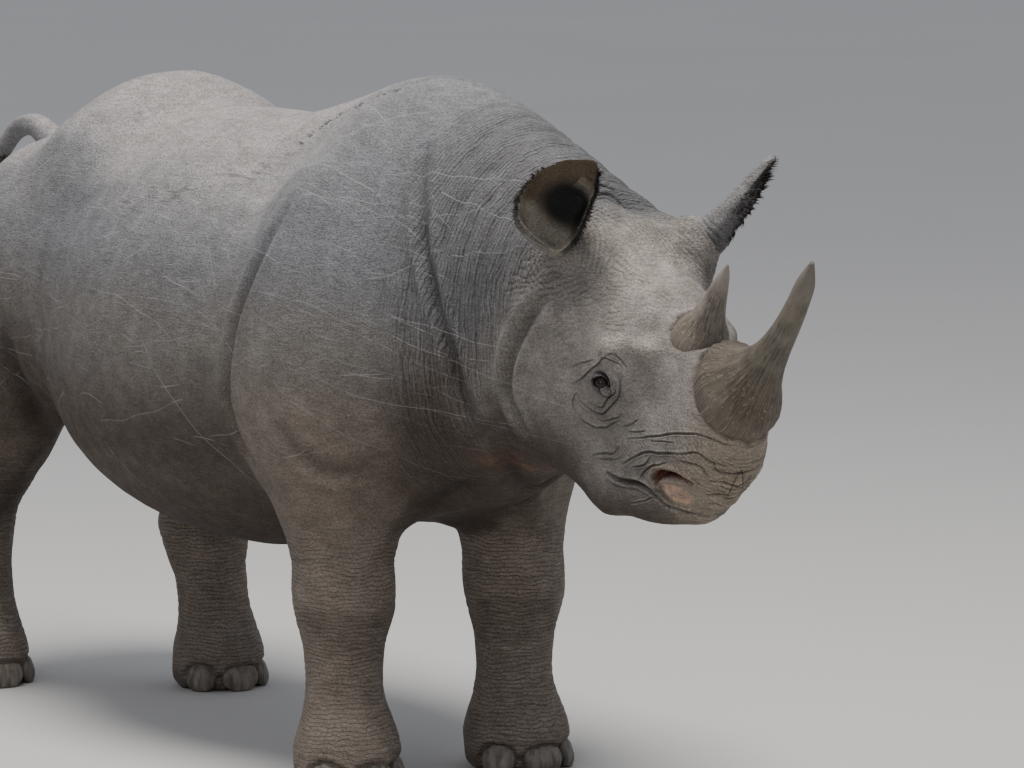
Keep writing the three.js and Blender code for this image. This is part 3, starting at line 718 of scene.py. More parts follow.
def shape_eyes(skin):
    """Lids that lie on the eyeball, an opening that shows it, and the lump by its corner."""
    along, up, out = eye_axes()
    skin.lid = np.zeros(skin.count)
    skin.lump = np.zeros(skin.count)
    skin.settle()
    for side, name in ((-1, "eye_right"), (1, "eye_left")):
        centre = mirrored(to_head(box_centre(name)[None])[0], side)
        radius = (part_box(name)[1].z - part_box(name)[0].z) / 2
        q = mirrored(skin.local, side) - centre
        near = np.nonzero((np.linalg.norm(q, axis=1) < 0.075) & (q @ out > -0.03))[0]
        q = q[near]
        u, v, w = q @ along, q @ up, q @ out
        # The upper lid hangs lower over the outer corner, and the lower lid is the flatter one.
        e = np.hypot(u / LID_WIDE, (v - 0.0015) / (LID_HIGH * (1 - 0.22 * (u / LID_WIDE) ** 2).clip(0.4)))
        reach = np.hypot(u, v)
        cap = np.sqrt(np.clip((radius + 0.0030) ** 2 - reach ** 2, 0, None))
        upper = step(v, -0.002, 0.006)
        lid = cap + (0.0012 + 0.0022 * upper) * hill(e - 1.20, 0.20)
        lid -= 0.0022 * hill(e - 1.62, 0.09) * upper + 0.0016 * hill(e - 1.50, 0.10) * (1 - upper)
        weight = step(e, 2.7, 1.35) * (reach < radius + 0.0025)
        height = w * (1 - weight) + lid * weight
        inside = step(e, 1.03, 0.92)
        height = height * (1 - inside) + 0.45 * radius * inside
        from_lump = np.hypot(u - LUMP_AT[0], v - LUMP_AT[1])
        dome = np.sqrt(np.clip(LUMP_RADIUS ** 2 - from_lump ** 2, 0, None))
        seat = np.sqrt(radius ** 2 - LUMP_AT[0] ** 2 - LUMP_AT[1] ** 2)
        beside = hill(from_lump - LUMP_RADIUS - 0.0012, 0.0022)
        height = np.where(from_lump < LUMP_RADIUS, np.maximum(height, seat + 0.85 * dome), height)
        height -= 0.0035 * beside * (from_lump >= LUMP_RADIUS) * (1 - inside)
        skin.points[near] = from_head(mirrored(q + np.outer(height - w, out) + centre, side))
        skin.lid[near] = np.maximum(skin.lid[near], step(e, 3.2, 1.3))
        lump = step(from_lump, LUMP_RADIUS + 0.0008, LUMP_RADIUS - 0.001)
        skin.lump[near] = np.maximum(skin.lump[near], lump)
        skin.crease_shade[near] += 0.8 * beside * (from_lump >= LUMP_RADIUS)
    skin.local = to_head(skin.points)
    skin.normals = vertex_normals(skin.points, skin.faces)


def ear_axes(name):
    """An ear's root, its axes (across, out of the opening, toward the tip), length and width."""
    root, splay, lean, turn, length, wide = EAR_SETS[name]
    axes = np.array(Matrix.Rotation(splay, 3, "X") @ Matrix.Rotation(lean, 3, "Y")
                    @ Matrix.Rotation(turn, 3, "Z"))
    side = -1 if name.endswith("right") else 1
    return np.array(root), axes[:, 1] * side, axes[:, 0], axes[:, 2], length, wide


def shape_ears(skin):
    """Rings of wrinkles round an ear's foot, a wavy rim, and what is inside the cup."""
    skin.ear_inside = np.zeros(skin.count)
    skin.ear_hole = np.zeros(skin.count)
    skin.ear_edge = np.zeros(skin.count)
    skin.ear_low = np.full(skin.count, 1.0)
    for name in EARS:
        root, across, out, tip, length, wide = ear_axes(name)
        q = skin.local - root
        near = np.nonzero((np.linalg.norm(q, axis=1) < length + 0.06) & (skin.points[:, 0] > 0.6))[0]
        q, place = q[near], skin.local[near]
        u, v, w = q @ across, q @ out, q @ tip
        own = skin.ear[near] & (w > -0.03)
        share = np.clip(w / length, 0.01, 0.99)
        swell = (1 - np.abs(2 * share ** 0.7 - 1) ** 2.3) ** 0.6
        round_by = np.hypot(u / np.where(u > 0, wide, 0.032), v / 0.052) / swell
        # The inside of the cup is where the skin faces the ear's own middle line.
        normal = skin.normals[near] @ HEAD
        radial = np.outer(u - 0.030, across) + np.outer(v - 0.015, out)
        radial /= np.linalg.norm(radial, axis=1, keepdims=True) + 1e-9
        cup = own * step((normal * radial).sum(axis=1), 0.20, -0.20) * step(w, 0.015, 0.035)
        # The deep middle of the cup, which is painted black as shade.
        hole = hill(np.hypot((u - 0.018) * 0.9, w - 0.46 * length), 0.062)
        skin.ear_inside[near] = np.maximum(skin.ear_inside[near], cup)
        skin.ear_hole[near] = np.maximum(skin.ear_hole[near], cup * hole)
        skin.ear_low[near[own]] = w[own] - 0.3 * u[own]
        edge = own * step(round_by, 0.75, 0.90) * step(v, -0.006, 0.012) * (w > 0.03)
        skin.ear_edge[near] = np.maximum(skin.ear_edge[near], edge * (1 - cup))
        if name == "ear_left":
            stem = np.linalg.norm(q - np.outer(w, tip), axis=1)
            skin.raise_by[near] += 0.011 * hill(w - 0.035, 0.045) * step(stem, 0.085, 0.060) * (1 - cup)
        rings = furrows(w / EAR_RINGS_APART + 0.6 * noise(place, 0.04, 81), 0.6) * own * (1 - cup)
        rings *= step(w, 0.115, 0.04) * step(noise(place, 0.03, 82), -0.7, 0.0)
        skin.raise_by[near] += 0.0018 * noise(place, 0.03, 83) * own - 0.0024 * rings
        ridges = furrows(u / 0.016 + 0.4 * noise(place, 0.05, 84), 0.8) * own * (1 - cup)
        skin.raise_by[near] -= 0.0012 * ridges * step(w, 0.08, 0.14)
        # The wrinkled skin round the foot, on the head itself.
        r = np.linalg.norm(q - 0.02 * tip, axis=1)
        ring = furrows(r / 0.0115 + 0.7 * noise(place, 0.05, 85), 0.6) * hill(r - 0.085, 0.042)
        ring *= ~skin.ear[near] * step(noise(place, 0.035, 86), -0.6, 0.2)
        skin.raise_by[near] -= 0.0028 * ring
        skin.crease_shade[near] += 0.45 * ring + 0.40 * rings


def shape_brow(skin):
    """Slanting wrinkles from the far ear toward the rear horn, and short ones under each ear."""
    q = skin.local
    here = (q[:, 0] > -0.02) & (q[:, 0] < 0.42) & (q[:, 2] > -0.30) & ~skin.ear & (skin.points[:, 0] > 0.6)
    near = np.nonzero(here)[0]
    q = q[near]
    fan = (q[:, 1] - 0.50 * q[:, 0]) / 0.0125
    fan += noise(q * [0.5, 1, 1], 0.06, 91) + 0.5 * noise(q, 0.02, 96)
    top = step(q[:, 2], -0.10, -0.05) * step(q[:, 0], 0.36, 0.28) * step(noise(q, 0.08, 97), -0.7, 0.1)
    temple = (q[:, 0] * 0.75 - q[:, 2] * 0.65) / 0.0135
    temple += noise(q, 0.07, 93) + 0.4 * noise(q, 0.02, 98)
    cheek = step(q[:, 2], -0.03, -0.08) * step(q[:, 2], -0.28, -0.20) * step(q[:, 0], 0.22, 0.14)
    total = np.zeros(len(q))
    for phase, mask, seed in ((fan, top, 94), (temple, cheek, 95)):
        total += furrows(phase, 0.6) * mask * step(noise(q, 0.04, seed), -0.5, 0.3)
    skin.raise_by[near] -= 0.0026 * total
    skin.crease_shade[near] += 0.55 * total


def shape_edges(skin):
    """A low collar round each horn, and skin drawn in under each toenail."""
    skin.collar = np.zeros(skin.count)
    for name in ("horn_front", "horn_rear"):
        own = tree_of(name)
        near = np.nonzero(in_box(skin.points, name, 0.05) & ~skin.ear)[0]
        away = np.array([own.find_nearest(p)[3] for p in skin.points[near]])
        rough = 1 + 0.4 * noise(skin.points[near], 0.02, 101)
        skin.raise_by[near] += (0.0035 * hill(away - 0.012, 0.010) - 0.003 * hill(away, 0.005)) * rough
        skin.collar[near] = np.maximum(skin.collar[near], hill(away, 0.010))
    for name in NODES:
        if not name.startswith("nail"):
            continue
        own = tree_of(name)
        near = np.nonzero(in_box(skin.points, name, 0.012))[0]
        away = np.array([own.find_nearest(p)[3] for p in skin.points[near]])
        skin.raise_by[near] -= 0.009 * step(away, 0.012, 0.002)


def shaped_skin():
    """The skin with all its shapes, coarse ones first."""
    skin = Skin()
    shape_body(skin)
    shape_ridge(skin)
    shape_legs(skin)
    shape_head(skin)
    skin.settle()
    shape_neck(skin)
    shape_ears(skin)
    shape_brow(skin)
    shape_orbits(skin)
    shape_muzzle(skin)
    shape_nostrils(skin)
    shape_edges(skin)
    shape_eyes(skin)
    skin.points[:, 2] = np.maximum(skin.points[:, 2], 0.0004)
    return skin


# ---- what the skin is marked with ------------------------------------------------------------------

def linear(red, green, blue):
    """A colour given from 0 to 255 as the eye sees it, as the shader wants it."""
    return np.array([(c / 255) ** 2.2 for c in (red, green, blue)])


BACK_GREY = linear(120, 121, 125)
TOP_DUST = linear(158, 154, 153)
FLANK_GREY = linear(112, 108, 104)
LOW_BROWN = linear(86, 75, 66)
NECK_GREY = linear(106, 106, 108)
FAR_EAR_GREY = linear(132, 132, 136)
# Painted shade round each eye.
ORBIT_SHADE_GREY = linear(84, 82, 86)
FACE_TAUPE = linear(131, 126, 121)
LEG_TAUPE = linear(134, 124, 114)
LIP_TAUPE = linear(156, 145, 130)
BROW_PALE = linear(178, 170, 159)
# Painted shade, brownish, for skin that faces down: under the jaw and under the belly.
UNDER_SHADE_BROWN = linear(62, 53, 46)
EAR_INSIDE = linear(92, 80, 66)
EAR_LOBE = linear(150, 144, 130)
NOSTRIL_PINK = linear(176, 146, 126)
NOSTRIL_RED = linear(96, 48, 30)
THROAT_RED = linear(108, 80, 64)
# Painted shade on the lids round each eye's opening.
LID_SHADE_GREY = linear(64, 61, 64)
LUMP_GREY = linear(112, 108, 106)
BLACK = linear(12, 10, 9)
COLLAR_BROWN = linear(80, 68, 54)
# The pale ridge over the right eye, in the head's axes.
BROW_LINE = [(0.31, -0.149, -0.080), (0.334, -0.127, -0.056), (0.375, -0.092, -0.037)]


def layered(base, *layers):
    """Colours painted over one another; each layer is a colour and how much of it each point takes."""
    for colour, amount in layers:
        base = base + (colour - base) * np.clip(amount, 0, 1)[:, None]
    return base


def skin_tint(skin):
    """The colour of each point: the body's, then the head's over it, then the small places'."""
    head = step(skin.local[:, 0], -0.08, 0.08) * (skin.points[:, 0] > 0.6)
    tint = body_tint(skin, head)
    tint = head_tint(skin, head, tint)
    return detail_tint(skin, tint)


def body_tint(skin, head):
    """Dusty on top, blue-grey above and brown below, on trunk and neck."""
    p, n = skin.points, skin.normals
    patch = clouds(p, 0.35, 121)
    neck = step(p[:, 0], 0.40, 0.62) * (1 - head)
    dusty = step(n[:, 2] + 0.10 * clouds(p, 0.12, 127), 0.30, 0.90) * step(p[:, 0], 0.30, 0.0)
    rump = step(p[:, 0], -0.75, -1.05) * step(p[:, 2], 1.05, 1.25)
    return layered(
        np.tile(FLANK_GREY, (skin.count, 1)),
        (BACK_GREY, step(p[:, 2] + 0.05 * patch, 0.95, 1.20)),
        (LOW_BROWN, step(p[:, 2] + 0.06 * patch, 0.98, 0.70)),
        (TOP_DUST, np.maximum(dusty, 0.30 * rump) * (1 - head) * (1 - neck)),
        (NECK_GREY, neck * step(p[:, 2], 0.8, 1.1)),
        (LOW_BROWN, 0.95 * neck * step(p[:, 2], 1.10, 0.86)),
    )


def head_tint(skin, head, tint):
    """Face, brow, chin and lips; then painted shade under the jaw, the belly and whatever else faces down,
    legs and throat, and blotches over all of it.
    """
    p, q, n = skin.points, skin.local, skin.normals
    pale = hill(np.linalg.norm((q - [0.16, 0.0, 0.0]) * [0.55, 0.75, 1.2], axis=1), 0.085)
    pale += 0.9 * hill(path_distance(q, BROW_LINE)[0], 0.020)
    # Skin facing down below the back, which gets painted shade.
    low = step(n[:, 2], 0.10, -0.60) * step(p[:, 2], 1.1, 0.8)
    fore = step(p[:, 0], -0.05, 0.05) * step(p[:, 0], 0.50, 0.40) * step(p[:, 2], 0.98, 0.80)
    leg = np.maximum(fore, step(p[:, 2], 0.70, 0.55)) * step(n[:, 2], -0.75, -0.45)
    throat = hill(np.linalg.norm((p - [0.67, -0.095, 0.760]) * [1, 0.5, 2.2], axis=1), 0.060)
    tint = layered(
        tint,
        (FACE_TAUPE, head),
        (BROW_PALE, 0.85 * pale * head * (0.75 + 0.7 * clouds(q, 0.025, 123))),
        # Painted shade under the jaw, then on all skin facing down.
        (UNDER_SHADE_BROWN, 0.90 * head * step(q[:, 2], -0.31, -0.41) * step(n[:, 2], -0.1, -0.6)),
        (UNDER_SHADE_BROWN, 0.8 * low),
        (LEG_TAUPE, 0.75 * leg * (1 - 0.6 * low)),
        (LIP_TAUPE, 0.8 * head * step(q[:, 0], 0.54, 0.67)),
        (THROAT_RED, 0.7 * throat * step(clouds(p, 0.02, 125), -0.5, 0.3)),
    )
    blotches = 1.13 + 0.13 * clouds(p, 0.05, 131) + 0.26 * head * clouds(q * [0.7, 1, 1], 0.03, 133)
    return tint * blotches[:, None]


def detail_tint(skin, tint):
    """Ears, eyes, nostrils and the horns' collars, with painted shade round the eyes, deep in the ears' cups
    and in the nostrils' slits.
    """
    q = skin.local
    # Round each eye, where painted shade goes.
    orbit = hill(np.linalg.norm((q - EYES_MIDDLE) * [1, 0, 1], axis=1), 0.030) * (np.abs(q[:, 1]) > 0.09)
    streaks = step(noise(q * [1.0, 1.0, 0.3], 0.005, 129), -0.6, 0.5)
    return layered(
        tint,
        (FAR_EAR_GREY, 0.7 * step(q[:, 1], 0.10, 0.14) * skin.ear),
        # Painted shade round each eye.
        (ORBIT_SHADE_GREY, 0.75 * orbit),
        (EAR_INSIDE, skin.ear_inside),
        (EAR_LOBE, 0.8 * skin.ear_inside * step(skin.ear_low, 0.075, 0.045)),
        # Painted shade: black deep in each ear's cup.
        (BLACK, step(skin.ear_hole, 0.25, 0.75)),
        (BLACK, 0.40 * skin.ear_edge),
        (NOSTRIL_PINK, skin.pink * (0.30 + 0.70 * streaks)),
        (NOSTRIL_RED, step(skin.hole, 0.0, 0.5)),
        # Painted shade: black deep in each nostril's slit.
        (BLACK, 0.85 * step(skin.hole, 0.5, 1.0)),
        # Painted shade on the lids round the opening.
        (LID_SHADE_GREY, 0.8 * skin.lid),
        (LUMP_GREY, skin.lump),
        (COLLAR_BROWN, 0.6 * skin.collar),
    )


# Where the dust of the back ends in cracked flakes.
FLAKED = ([(-0.52, -0.35, 1.24), (-0.27, -0.30, 1.30), (-0.09, -0.21, 1.37)],
          [(-0.065, -0.174, 1.403), (0.012, -0.133, 1.465), (0.149, -0.137, 1.507), (0.234, -0.110, 1.538)])


def scratches(skin):
    """Four layers of thin scratches, as the distance from each to its nearest line, and a mask."""
    p = skin.points
    side = np.where(p[:, 1] < 0, -1, 1)
    wrap = np.arctan2(p[:, 2] - 0.80, np.abs(p[:, 1]) + 0.25) * 0.65
    away = np.zeros((4, skin.count))
    mask = np.zeros((4, skin.count))
    body = np.nonzero((p[:, 0] < 0.95) & (p[:, 2] > 0.6) & ~skin.tail & ~skin.ear)[0]
    x, s, sides = p[body, 0], wrap[body], side[body]
    for number in range(SCRATCHES):
        start = rng.uniform(-1.45, 0.60)
        length = rng.uniform(0.04, 0.16) if number % 4 else rng.uniform(0.18, 0.60)
        height = rng.triangular(-0.15, 0.32, 0.75)
        slope = rng.normal(0.06, 0.17) if number % 6 else rng.normal(0, 0.9)
        bend = rng.normal(0, 0.16) / length
        shake = rng.uniform(20, 60)
        which = rng.choice([-1, 1])
        length = length / math.sqrt(1 + slope ** 2)
        t = x - start
        curve = height + slope * t + bend * t ** 2 + 0.0025 * np.sin(t * shake + 9 * height)
        lean = slope + 2 * bend * t
        off = (s - curve) / np.sqrt(1 + lean ** 2)
        hit = (t > -0.02) & (t < length + 0.02) & (np.abs(off) < SCRATCH_REACH) & (sides == which)
        if hit.sum() < 20:
            continue
        used = [mask[k, body[hit]].max() for k in range(4)]
        layer = int(np.argmin(used))
        if used[layer] > 0.02:
            continue
        strength = rng.uniform(0.25, 1.0)
        ends = step(t[hit], -0.01, 0.03) * step(t[hit], length + 0.01, length - 0.03)
        away[layer, body[hit]] = off[hit]
        mask[layer, body[hit]] = strength * ends * step(np.abs(off[hit]), SCRATCH_REACH, 0.55 * SCRATCH_REACH)
    return away, mask


def marked_skin(skin):
    """The skin as an object that holds what its material reads."""
    ob = mesh_object("skin", skin.points, skin.faces, skin.corners)
    p, q = skin.points, skin.local
    neck = step(p[:, 0], 0.36, 0.55) * step(q[:, 0], 0.10, -0.02) * step(p[:, 2], 0.5, 0.7) * ~skin.ear
    leg = step(p[:, 2], 0.66, 0.5) * (p[:, 0] < 0.6)
    flakes = 0.5 * hill(path_distance(p, FLAKED[0])[0], 0.035) + hill(path_distance(p, FLAKED[1])[0], 0.013)
    flat = np.zeros((skin.count, 4))
    store(ob, "tint", np.concatenate([skin_tint(skin), np.ones((skin.count, 1))], axis=1))
    flat[:, 0] = neck_lie(p)
    flat[:, 1] = p[:, 2]
    store(ob, "lie", flat)
    smooth = np.maximum.reduce([skin.lid, skin.lump, 0.7 * skin.pink, skin.ear_inside])
    store(ob, "where", np.stack([neck, leg, 1 - smooth, flakes], axis=1))
    # Painted shade for the grooves of folds and wrinkles.
    store(ob, "crease_shade", np.clip(skin.crease_shade, 0, 1.5))
    store(ob, "wet", np.clip(np.maximum(0.9 * skin.lid, 0.6 * skin.pink), 0, 1))
    away, mask = scratches(skin)
    store(ob, "scratch_a", np.stack([away[0], mask[0], away[1], mask[1]], axis=1))
    store(ob, "scratch_b", np.stack([away[2], mask[2], away[3], mask[3]], axis=1))
    return ob


# ---- materials -------------------------------------------------------------------------------------

class Shader:
    """A material and short ways to add nodes to it."""

    def __init__(self, name):
        self.material = bpy.data.materials.new(name)
        self.material.use_nodes = True
        self.tree = self.material.node_tree
        self.tree.nodes.clear()
        self.surface = self.add("ShaderNodeBsdfPrincipled")
        output = self.add("ShaderNodeOutputMaterial")
        self.link(self.surface.outputs[0], output.inputs[0])

    def add(self, kind, inputs=None, **settings):
        """A node with its settings, then its inputs as values or links."""
        node = self.tree.nodes.new(kind)
        for key, value in settings.items():
            setattr(node, key, value)
        for key, value in (inputs or {}).items():
            self.put(node, key, value)
        return node

    def link(self, source, target):
        """One socket into another."""
        self.tree.links.new(source, target)

    def put(self, node, key, value):
        """A value or a link into a node's input."""
        if isinstance(value, bpy.types.NodeSocket):
            self.link(value, node.inputs[key])
        else:
            node.inputs[key].default_value = value

    def math(self, operation, a, b=0.0, c=0.0):
        """One step of arithmetic on up to three numbers."""
        return self.add("ShaderNodeMath", {0: a, 1: b, 2: c}, operation=operation).outputs[0]

    def times(self, a, b):
        """Two numbers multiplied."""
        return self.math("MULTIPLY", a, b)

    def mix(self, factor, a, b, blend="MIX"):
        """Two colours mixed."""
        node = self.add("ShaderNodeMix", {0: factor, 6: a, 7: b}, data_type="RGBA", blend_type=blend)
        return node.outputs[2]

    def shade(self, factor, color, by):
        """A colour multiplied by another, as far as factor says."""
        return self.mix(factor, color, by, "MULTIPLY")

    def ramp(self, value, start, end, low=0.0, high=1.0):
        """A smooth way from low to high while value goes from start to end."""
        node = self.add("ShaderNodeMapRange", {0: value, 1: start, 2: end, 3: low, 4: high},
                        interpolation_type="SMOOTHSTEP")
        return node.outputs[0]

    def place(self):
        """The point's place in metres."""
        return self.add("ShaderNodeTexCoord").outputs["Object"]

    def stretched(self, vector, scale):
        """A place scaled by a different number along each axis."""
        return self.add("ShaderNodeMapping", {"Vector": vector, "Scale": scale}).outputs[0]

    def noise(self, vector, scale, detail=3.0, rough=0.55, distortion=0.0):
        """Noise from 0 to 1 with so many lumps to a metre."""
        node = self.add("ShaderNodeTexNoise", {"Vector": vector, "Scale": scale, "Detail": detail,
                                               "Roughness": rough, "Distortion": distortion})
        return node.outputs["Fac"]

    def cells(self, vector, scale):
        """How far a place is from the edges of a net of cells."""
        node = self.add("ShaderNodeTexVoronoi", {"Vector": vector, "Scale": scale},
                        feature="DISTANCE_TO_EDGE")
        return node.outputs["Distance"]

    def waves(self, lie, apart, slow, wander):
        """Thin lines across the way that lie grows, apart from each other and wandering a little: fine
        wrinkle grooves, sunk by the bump and darkened with painted shade.
        """
        phase = self.math("MULTIPLY_ADD", lie, math.pi / apart, self.times(slow, wander * math.pi))
        return self.ramp(self.math("ABSOLUTE", self.math("SINE", phase)), 0.55, 0.0)

    def kept(self, name):
        """What the mesh keeps under a name."""
        return self.add("ShaderNodeAttribute", attribute_name=name)

    def parts(self, name):
        """The four numbers kept under a name."""
        node = self.kept(name)
        split = self.add("ShaderNodeSeparateColor", {0: node.outputs["Color"]})
        return split.outputs[0], split.outputs[1], split.outputs[2], node.outputs["Alpha"]

    def joined(self, x, y, z):
        """Three numbers as a place."""
        return self.add("ShaderNodeCombineXYZ", {0: x, 1: y, 2: z}).outputs[0]

    def bump(self, height):
        """Tilts the surface by a height in metres."""
        node = self.add("ShaderNodeBump", {"Strength": 1.0, "Distance": 1.0, "Height": height})
        self.link(node.outputs[0], self.surface.inputs["Normal"])

    def finish(self, **values):
        """Sets the surface's own values and gives the material."""
        names = {"color": "Base Color", "rough": "Roughness", "specular": "Specular IOR Level",
                 "coat": "Coat Weight", "coat_rough": "Coat Roughness", "sheen": "Sheen Weight",
                 "subsurface": "Subsurface Weight"}
        for key, value in values.items():
            self.put(self.surface, names[key], value)
        return self.material


def add_up(shader, *terms):
    """The sum of (value, weight) terms."""
    total = 0.0
    for value, weight in terms:
        total = shader.math("MULTIPLY_ADD", value, weight, total)
    return total


def hide_material():
    """Thick, dry hide: grain, wrinkles with painted shade in their grooves, flakes of dust and scratches over
    the kept colour.
    """
    s = Shader("hide")
    place = s.place()
    tint = s.kept("tint").outputs["Color"]
    neck, leg, rough_skin, flaky = s.parts("where")
    lie_neck, lie_leg, _, _ = s.parts("lie")
    crease_shade = s.kept("crease_shade").outputs["Fac"]
    wet = s.kept("wet").outputs["Fac"]

    cells = s.ramp(s.cells(place, 135.0), 0.0, 0.20)
    grain = s.noise(s.stretched(place, (170.0, 170.0, 330.0)), 1.0, 3.0, 0.65)
    streak = s.noise(s.stretched(place, (26.0, 26.0, 190.0)), 1.0, 3.0, 0.6)
    mottle = s.noise(place, 26.0, 6.0, 0.66)
    patch = s.noise(place, 3.4, 3.0, 0.5)

    slow = s.noise(place, 14.0, 3.0, 0.6)
    neck_lines = s.waves(lie_neck, 0.0082, slow, 3.2)
    leg_lines = s.waves(lie_leg, 0.0095, slow, 3.6)
    lines = s.math("MAXIMUM", s.times(neck_lines, neck), s.times(leg_lines, leg))

    color = s.shade(s.ramp(mottle, 0.32, 0.66, 0.0, 0.42), tint, (0.62, 0.60, 0.57, 1))
    color = s.shade(s.ramp(patch, 0.38, 0.68, 0.0, 0.28), color, (1.35, 1.33, 1.30, 1))
    color = s.shade(s.ramp(grain, 0.60, 0.36, 0.0, 0.68), color, (0.42, 0.40, 0.38, 1))
    color = s.shade(s.times(s.ramp(streak, 0.60, 0.38, 0.0, 0.30), rough_skin), color, (0.50, 0.48, 0.46, 1))
    # Painted shade in the fine wrinkles of neck and legs.
    color = s.shade(s.times(lines, 0.45), color, (0.36, 0.34, 0.32, 1))
    # Painted shade in the grooves of every fold and wrinkle.
    color = s.shade(s.times(crease_shade, 0.75), color, (0.16, 0.14, 0.125, 1))

    net = s.times(s.math("SUBTRACT", 1.0, cells), s.times(rough_skin, 0.35))
    color = s.shade(net, color, (0.60, 0.58, 0.56, 1))
    flake_noise = s.noise(s.stretched(place, (16.0, 40.0, 110.0)), 1.0, 3.0, 0.6)
    flake = s.times(s.ramp(flake_noise, 0.53, 0.58), s.math("MINIMUM", flaky, 1.0))
    color = s.shade(s.times(flake, 0.85), color, (0.16, 0.15, 0.15, 1))

    scratch = 0.0
    for name in ("scratch_a", "scratch_b"):
        first, first_mask, second, second_mask = s.parts(name)
        for away, mask in ((first, first_mask), (second, second_mask)):
            line = s.ramp(s.math("ABSOLUTE", away), 0.0017, 0.0003)
            scratch = s.math("MAXIMUM", scratch, s.times(line, mask))
    broken = s.ramp(s.noise(place, 30.0, 3.0), 0.34, 0.50)
    scratch = s.times(scratch, broken)
    color = s.mix(s.times(scratch, 0.40), color, (0.42, 0.42, 0.42, 1))
    specks = s.ramp(s.noise(place, 210.0, 2.0, 0.5), 0.63, 0.72, 0.0, 0.14)
    color = s.mix(s.times(specks, rough_skin), color, (0.42, 0.41, 0.39, 1))

    height = add_up(s, (cells, s.times(rough_skin, 0.0006)), (grain, 0.0022), (mottle, 0.0018),
                    (streak, s.times(rough_skin, 0.0012)), (lines, -0.0016),
                    (flake, -0.0020), (scratch, 0.0003))
    s.bump(height)
    rough = s.math("SUBTRACT", s.ramp(mottle, 0.3, 0.7, 0.62, 0.80), s.times(wet, 0.30))
    return s.finish(color=color, rough=rough, specular=0.35)


def horn_material():
    """Brown horn with fibres lengthwise, stained at its foot and worn toward its tip."""
    s = Shader("horn")
    place = s.place()
    round_x, round_y, along, pale = s.parts("fibre")
    fibres = s.joined(s.times(round_x, 38.0), s.times(round_y, 38.0), s.times(along, 7.0))
    grain = s.noise(fibres, 1.0, 5.0, 0.7)
    lines = s.joined(s.times(round_x, 17.0), s.times(round_y, 17.0), s.times(along, 26.0))
    blotch = s.noise(place, 18.0, 4.0, 0.6)
    fine = s.noise(place, 240.0, 3.0, 0.6)
    color = s.mix(s.ramp(grain, 0.42, 0.60), (0.030, 0.024, 0.018, 1), (0.165, 0.137, 0.103, 1))
    color = s.mix(s.ramp(blotch, 0.42, 0.68, 0.0, 0.5), color, (0.19, 0.165, 0.125, 1))
    color = s.mix(s.ramp(along, 0.62, 0.95, 0.0, 0.5), color, (0.20, 0.175, 0.15, 1))
    low = s.ramp(along, 0.34, 0.05)
    color = s.mix(s.times(low, 0.40), color, (0.085, 0.060, 0.036, 1))
    stain = s.times(s.ramp(s.noise(lines, 1.0, 5.0, 0.7), 0.55, 0.62), low)
    color = s.mix(s.times(stain, 0.45), color, (0.40, 0.36, 0.29, 1))
    foot = s.ramp(along, 0.16, 0.03)
    color = s.mix(s.times(foot, 0.2), color, (0.14, 0.118, 0.094, 1))
    color = s.shade(pale, color, (1.8, 1.85, 2.0, 1))
    speck = s.times(s.ramp(s.noise(place, 130.0, 2.0), 0.65, 0.69), s.ramp(along, 0.7, 0.1))
    color = s.mix(s.times(speck, 0.3), color, (0.44, 0.41, 0.34, 1))
    s.bump(add_up(s, (grain, s.ramp(along, 0.7, 0.0, 0.0016, 0.0042)), (fine, 0.0006), (stain, 0.0008)))
    rough = s.ramp(along, 0.1, 0.9, 0.72, 0.42)
    return s.finish(color=color, rough=rough, specular=0.45)


def nail_material():
    """Dull horny toenail."""
    s = Shader("nail")
    place = s.place()
    grain = s.noise(s.stretched(place, (60.0, 60.0, 14.0)), 1.0, 4.0, 0.6)
    color = s.mix(s.ramp(grain, 0.3, 0.7), (0.07, 0.058, 0.046, 1), (0.20, 0.175, 0.145, 1))
    s.bump(add_up(s, (grain, 0.0015)))
    return s.finish(color=color, rough=0.6, specular=0.4)


def eye_material():
    """The white shows only at the rim; the iris is dark brown round a wide pupil."""
    s = Shader("eye")
    reach = s.kept("reach").outputs["Fac"]
    streak = s.noise(s.place(), 900.0, 3.0)
    color = s.mix(s.ramp(reach, 0.20, 0.26), (0.002, 0.002, 0.002, 1), (0.020, 0.012, 0.008, 1))
    color = s.mix(s.times(s.ramp(streak, 0.4, 0.7), 0.5), color, (0.035, 0.020, 0.012, 1))
    color = s.mix(s.ramp(reach, 0.50, 0.58), color, (0.006, 0.005, 0.004, 1))
    color = s.mix(s.ramp(reach, 0.70, 0.90), color, (0.07, 0.055, 0.05, 1))
    return s.finish(color=color, rough=0.08, specular=0.22, coat=0.12, coat_rough=0.03)


def bristle_material():
    """Nearly black hair."""
    s = Shader("bristle")
    color = s.mix(s.noise(s.place(), 90.0, 2.0), (0.008, 0.007, 0.006, 1), (0.035, 0.029, 0.024, 1))
    return s.finish(color=color, rough=0.55, specular=0.3)


def floor_material():
    """A pale, plain floor."""
    s = Shader("floor")
    tone = s.noise(s.place(), 0.7, 3.0)
    color = s.mix(tone, (0.56, 0.545, 0.52, 1), (0.60, 0.585, 0.56, 1))
    return s.finish(color=color, rough=0.9, specular=0.1)


# ---- horns, eyes, nails and bristles -----------------------------------------------------------------

# Horns as in the part, in the head's axes: rear and front of the foot, its width, length, how far
# the horn leans and bends back, the foot's tilt, and its girth from foot to tip against the foot's.
HORNS = {
    "horn_front": (0.506, 0.700, 0.164, 0.439, 0.58, 0.64, 0.5,
                   (0.94, 1.0, 0.72, 0.52, 0.4, 0.33, 0.29, 0.26, 0.22, 0.05)),
    "horn_rear": (0.352, 0.478, 0.118, 0.200, 0.12, 0.0, 0.0,
                  (1.02, 1.02, 0.9, 0.66, 0.52, 0.43, 0.35, 0.27, 0.18, 0.03)),
}


